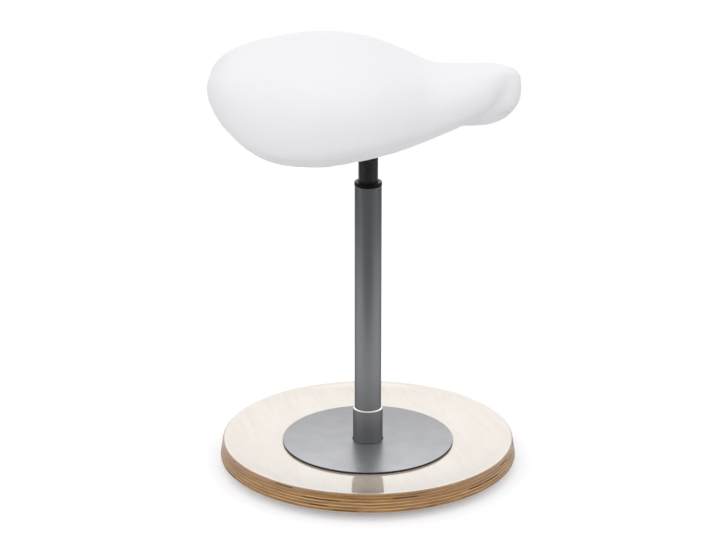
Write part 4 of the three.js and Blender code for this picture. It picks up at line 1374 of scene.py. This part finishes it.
def station_form(name, shares, section, inset, rings=90, sides=96):
    """A closed form through stations, drawn in by the inset."""
    above, below, edge_share = section
    middle = pad_rear + pad_length / 2
    shrink = (pad_length / 2 - inset) / (pad_length / 2)
    points = []
    for i, (along, wide, top, bottom) in enumerate(through_stations(shares, rings)):
        x = middle + (pad_rear + pad_length * along - middle) * shrink
        width = max(pad_half_width * wide - inset, 0)
        top = pad_height * top - inset
        bottom = pad_height * bottom + inset
        thick = max(top - bottom, 0)
        edge = bottom + edge_share * thick if thick > 0 else (top + bottom) / 2
        if i in (0, rings):
            width, thick = 0, 0
        for j in range(sides):
            c, s = math.cos(2 * math.pi * j / sides), math.sin(2 * math.pi * j / sides)
            power = 2 / (above if c >= 0 else below)
            rise = (1 - edge_share) * thick if c >= 0 else edge_share * thick
            y = width * math.copysign(abs(s) ** power, s)
            z = edge + rise * math.copysign(abs(c) ** power, c)
            points.append((x, y, pad_bottom + z))
    faces = []
    for i in range(rings):
        for j in range(sides):
            a, b = i * sides + j, i * sides + (j + 1) % sides
            faces.append((a, a + sides, b + sides, b))
    mesh = bpy.data.meshes.new(name)
    mesh.from_pydata(points, [], faces)
    build = bmesh.new()
    build.from_mesh(mesh)
    bmesh.ops.remove_doubles(build, verts=build.verts, dist=same_place)
    bmesh.ops.recalc_face_normals(build, faces=build.faces)
    build.to_mesh(mesh)
    build.free()
    return linked(name, mesh)


def corners_of(piece):
    found = np.zeros(len(piece.data.vertices) * 3)
    piece.data.vertices.foreach_get("co", found)
    return found.reshape(-1, 3)


def move_corners(piece, places):
    piece.data.vertices.foreach_set("co", np.ascontiguousarray(places, dtype=float).ravel())
    piece.data.update()


def remesh(piece, size):
    modifier = piece.modifiers.new("remesh", "REMESH")
    modifier.mode = "VOXEL"
    modifier.voxel_size = size
    settle(piece)


def pull_to_neighbours(piece):
    """For each corner, the step that would take it to the middle of its neighbours."""
    places = corners_of(piece)
    ends = np.zeros(len(piece.data.edges) * 2, dtype=int)
    piece.data.edges.foreach_get("vertices", ends)
    here, there = ends.reshape(-1, 2).T
    here, there = np.r_[here, there], np.r_[there, here]
    count = np.bincount(here, minlength=len(places))
    total = [np.bincount(here, places[there, k], minlength=len(places)) for k in range(3)]
    return np.stack(total, axis=1) / count[:, None] - places


def relax(piece, rounds):
    """Evens a surface out without shrinking it: each smoothing step is followed by its opposite."""
    for _ in range(rounds):
        for share in (0.5, -0.52):
            move_corners(piece, corners_of(piece) + share * pull_to_neighbours(piece))


def bridge_hollows(piece, rounds):
    """Lifts the bottoms of sharp hollows, as the drawn knit does, and leaves the rest as it is."""
    for _ in range(rounds):
        step = pull_to_neighbours(piece)
        outward = np.zeros(len(step) * 3)
        piece.data.vertex_normals.foreach_get("vector", outward)
        hollow = (step * outward.reshape(-1, 3)).sum(axis=1, keepdims=True) > 0
        move_corners(piece, corners_of(piece) + 0.5 * step * hollow)


def soften_near(piece, centre, reach, rounds):
    """Plain smoothing, full at the centre and fading out towards the reach."""
    for _ in range(rounds):
        places = corners_of(piece)
        far = np.linalg.norm(places - np.array(centre), axis=1, keepdims=True)
        share = 0.5 * np.clip(1 - far / reach, 0, 1)
        move_corners(piece, places + share * pull_to_neighbours(piece))


def swell(piece, held):
    """Blows the cover up like cloth. The held corners stay, and none moves further than the cap."""
    before = corners_of(piece)
    group = piece.vertex_groups.new(name="held")
    group.add([int(i) for i in np.flatnonzero(held)], 1.0, "REPLACE")
    modifier = piece.modifiers.new("cloth", "CLOTH")
    cloth = modifier.settings
    cloth.vertex_group_mass = "held"
    cloth.use_pressure = True
    cloth.uniform_pressure_force = cloth_pressure
    cloth.effector_weights.gravity = 0
    cloth.tension_stiffness = cloth_tension
    cloth.bending_stiffness = cloth_bending
    modifier.point_cache.frame_start = 1
    modifier.point_cache.frame_end = cloth_frames
    for moment in range(1, cloth_frames + 1):
        bpy.context.scene.frame_set(moment)
    settle(piece)
    bpy.context.scene.frame_set(1)
    step = corners_of(piece) - before
    far = np.linalg.norm(step, axis=1, keepdims=True)
    move_corners(piece, before + step * np.minimum(1, most_swell / np.maximum(far, 1e-9)))
    piece.vertex_groups.clear()


def stretch_knit():
    """White polyester stretch knit, drawn tight: matt, faintly cool, with a soft bloom at its edges.
    The real loops are 0.6 mm wide, and are drawn about twice as wide so that they show."""
    material, tree = new_material("white_stretch_knit")
    coords = add_node(tree, "ShaderNodeTexCoord").outputs
    part = add_node(tree, "ShaderNodeSeparateXYZ", (coords["Object"],)).outputs
    facing = add_node(tree, "ShaderNodeSeparateXYZ", (coords["Normal"],)).outputs
    # the loops are drawn on three planes, and blended by the way the surface faces
    loops, whole = 0.0, 0.0
    for across, along, axis in (("Y", "X", "Z"), ("X", "Z", "Y"), ("Y", "Z", "X")):
        weight = add_node(tree, "ShaderNodeMath", (facing[axis],), operation="ABSOLUTE")
        weight = add_node(tree, "ShaderNodeMath", (weight, 3.0), operation="POWER")
        whole = add_node(tree, "ShaderNodeMath", (whole, weight), operation="ADD")
        ribs = (part[across], 2 * math.pi / loop_width)
        ribs = add_node(tree, "ShaderNodeMath", ribs, operation="MULTIPLY")
        ribs = add_node(tree, "ShaderNodeMath", (ribs,), operation="SINE")
        ribs = add_node(tree, "ShaderNodeMath", (ribs,), operation="ABSOLUTE")
        rows = (part[along], 2 * math.pi / (1.25 * loop_width))
        rows = add_node(tree, "ShaderNodeMath", rows, operation="MULTIPLY")
        rows = add_node(tree, "ShaderNodeMath", (rows,), operation="SINE")
        rows = add_node(tree, "ShaderNodeMath", (rows, 1.6), operation="ADD")
        knit = add_node(tree, "ShaderNodeMath", (ribs, rows), operation="MULTIPLY")
        loops = add_node(tree, "ShaderNodeMath", (knit, weight, loops), operation="MULTIPLY_ADD")
    loops = add_node(tree, "ShaderNodeMath", (loops, whole), operation="DIVIDE")
    height = (speckled(tree, slub_size), 0.4, loops)
    height = add_node(tree, "ShaderNodeMath", height, operation="MULTIPLY_ADD")
    relief = {"Height": height, "Strength": 0.16, "Distance": loop_depth}
    knitted = add_node(tree, "ShaderNodeBump", relief)
    # fine puckers where the knit is gathered under the nose's end, on both sides
    apart = add_node(tree, "ShaderNodeVectorMath", (coords["Object"],), operation="ABSOLUTE")
    reach = add_node(tree, "ShaderNodeVectorMath", (apart, pucker_place), operation="DISTANCE")
    near_by = add_node(tree, "ShaderNodeMapRange", (reach, pucker_reach, 0.4 * pucker_reach))
    waver = speckled(tree, pucker_waver, -0.6 * math.pi, 0.6 * math.pi)
    folds = (part["Z"], 2 * math.pi / pucker_pitch, waver)
    folds = add_node(tree, "ShaderNodeMath", folds, operation="MULTIPLY_ADD")
    folds = add_node(tree, "ShaderNodeMath", (folds,), operation="SINE")
    folds = add_node(tree, "ShaderNodeMath", (folds, near_by), operation="MULTIPLY")
    puckers = {"Height": folds, "Strength": 1.0, "Distance": pucker_depth, "Normal": knitted}
    # the knit is painted paler on its loops and darker between them: a painted shade of its hollows
    lit = add_node(tree, "ShaderNodeMapRange", (loops, 0.0, 2.4))
    blend = {"Factor": lit, "A": linear("#eeeef1"), "B": linear("#f7f7f9")}
    finish = {
        "Base Color": add_node(tree, "ShaderNodeMix", blend, data_type="RGBA"),
        "Roughness": 0.92,
        "IOR": 1.45,
        "Specular IOR Level": 0.3,
        "Sheen Weight": 0.15,
        "Sheen Roughness": 0.5,
        "Normal": add_node(tree, "ShaderNodeBump", puckers),
    }
    shader = add_node(tree, "ShaderNodeBsdfPrincipled", finish)
    add_node(tree, "ShaderNodeOutputMaterial", (shader,))
    return material


knit_cloth = stretch_knit()


def covered_seat():
    piece = station_form("knit_covered_seat", pad_shares, pad_section, foam_inset)
    combine(piece, station_form("lobe", lobe_shares, lobe_section, foam_inset), "UNION")
    opening = slab("recess", oval(-recess_clearance), pad_bottom - recess_overrun, recess_top)
    combine(piece, opening, "DIFFERENCE")
    remesh(piece, voxel)
    relax(piece, first_relax_rounds)
    places = corners_of(piece)
    power = board_squareness
    share = (
        (np.abs(places[:, 0] - board_centre) / (board_half_length + held_beside)) ** power
        + (np.abs(places[:, 1]) / (board_half_width + held_beside)) ** power
    )
    in_recess = (share < 1) & (places[:, 2] < recess_top + held_above)
    swell(piece, in_recess)
    bridge_hollows(piece, hollow_rounds)
    relax(piece, last_relax_rounds)
    soften_near(piece, rear_place, rear_reach, rear_rounds)
    modifier = piece.modifiers.new("fine", "SUBSURF")
    modifier.levels = modifier.render_levels = 1
    settle(piece)
    smooth(piece, 180)
    give_finish(piece, knit_cloth)
    return piece


seat = covered_seat()
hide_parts("seat_foam", "seat_cover")
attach(seat, "seat")


# The cover's edge is turned in under the board and gathered on an elastic band, which holds it there
# without tacks. The gathers are small and even.
lap_drop = 8 * mm
lap_start = board_low.z - lap_drop
knit_thickness = 0.7 * mm
gather_count = 150
gather_depth = 1.3 * mm
# The lap's section in millimetres: how far in from the recess's wall, and how far up from its start.
lap_section = [(-3.5, -0.8), (0, 0), (0.4, 2.2), (1.4, 4.2), (3.2, 5.3), (6, 5.6), (9, 5.4)]
lap_section += [(11.5, 4.9), (13.2, 4.4)]


def along_oval(steps):
    """Evenly spaced points of the board's outline, with the direction inwards at each."""
    fine = np.array(oval(steps=2000))
    fine = np.vstack([fine, fine[:1]])
    lengths = np.r_[0, np.cumsum(np.linalg.norm(np.diff(fine, axis=0), axis=1))]
    wanted = np.linspace(0, lengths[-1], steps, endpoint=False)
    points = np.stack([np.interp(wanted, lengths, fine[:, k]) for k in (0, 1)], axis=1)
    ahead = np.roll(points, -1, axis=0) - np.roll(points, 1, axis=0)
    ahead /= np.linalg.norm(ahead, axis=1, keepdims=True)
    inward = np.stack([-ahead[:, 1], ahead[:, 0]], axis=1)
    return points, inward, lengths[-1]


def gathered_lap():
    steps = gather_count * 8
    points, inward, length = along_oval(steps)
    turns = np.arange(steps) / steps * 2 * math.pi
    uneven = 0.9 * np.sin(turns * 17) + 0.6 * np.sin(turns * 41)
    ripple = 0.5 + 0.5 * np.sin(turns * gather_count + uneven)
    places = []
    for offset, rise in lap_section:
        share = (max(offset, 0) / lap_section[-1][0]) ** 1.3
        ring = points + inward * offset * mm
        height = lap_start + rise * mm - gather_depth * share * ripple
        places.append(np.column_stack([ring, height]))
    places = np.vstack(places)
    faces = []
    for i in range(len(lap_section) - 1):
        for j in range(steps):
            a, b = i * steps + j, i * steps + (j + 1) % steps
            faces.append((a, b, b + steps, a + steps))
    mesh = bpy.data.meshes.new("gathered_cover_lap")
    mesh.from_pydata([tuple(p) for p in places], [], faces)
    piece = linked("gathered_cover_lap", mesh)
    modifier = piece.modifiers.new("cloth", "SOLIDIFY")
    modifier.thickness = knit_thickness
    modifier.offset = 0
    settle(piece)
    smooth(piece, 80)
    give_finish(piece, knit_cloth)
    return piece, length


lap, lap_length = gathered_lap()
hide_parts("cover_hem_elastic")
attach(lap, "seat")
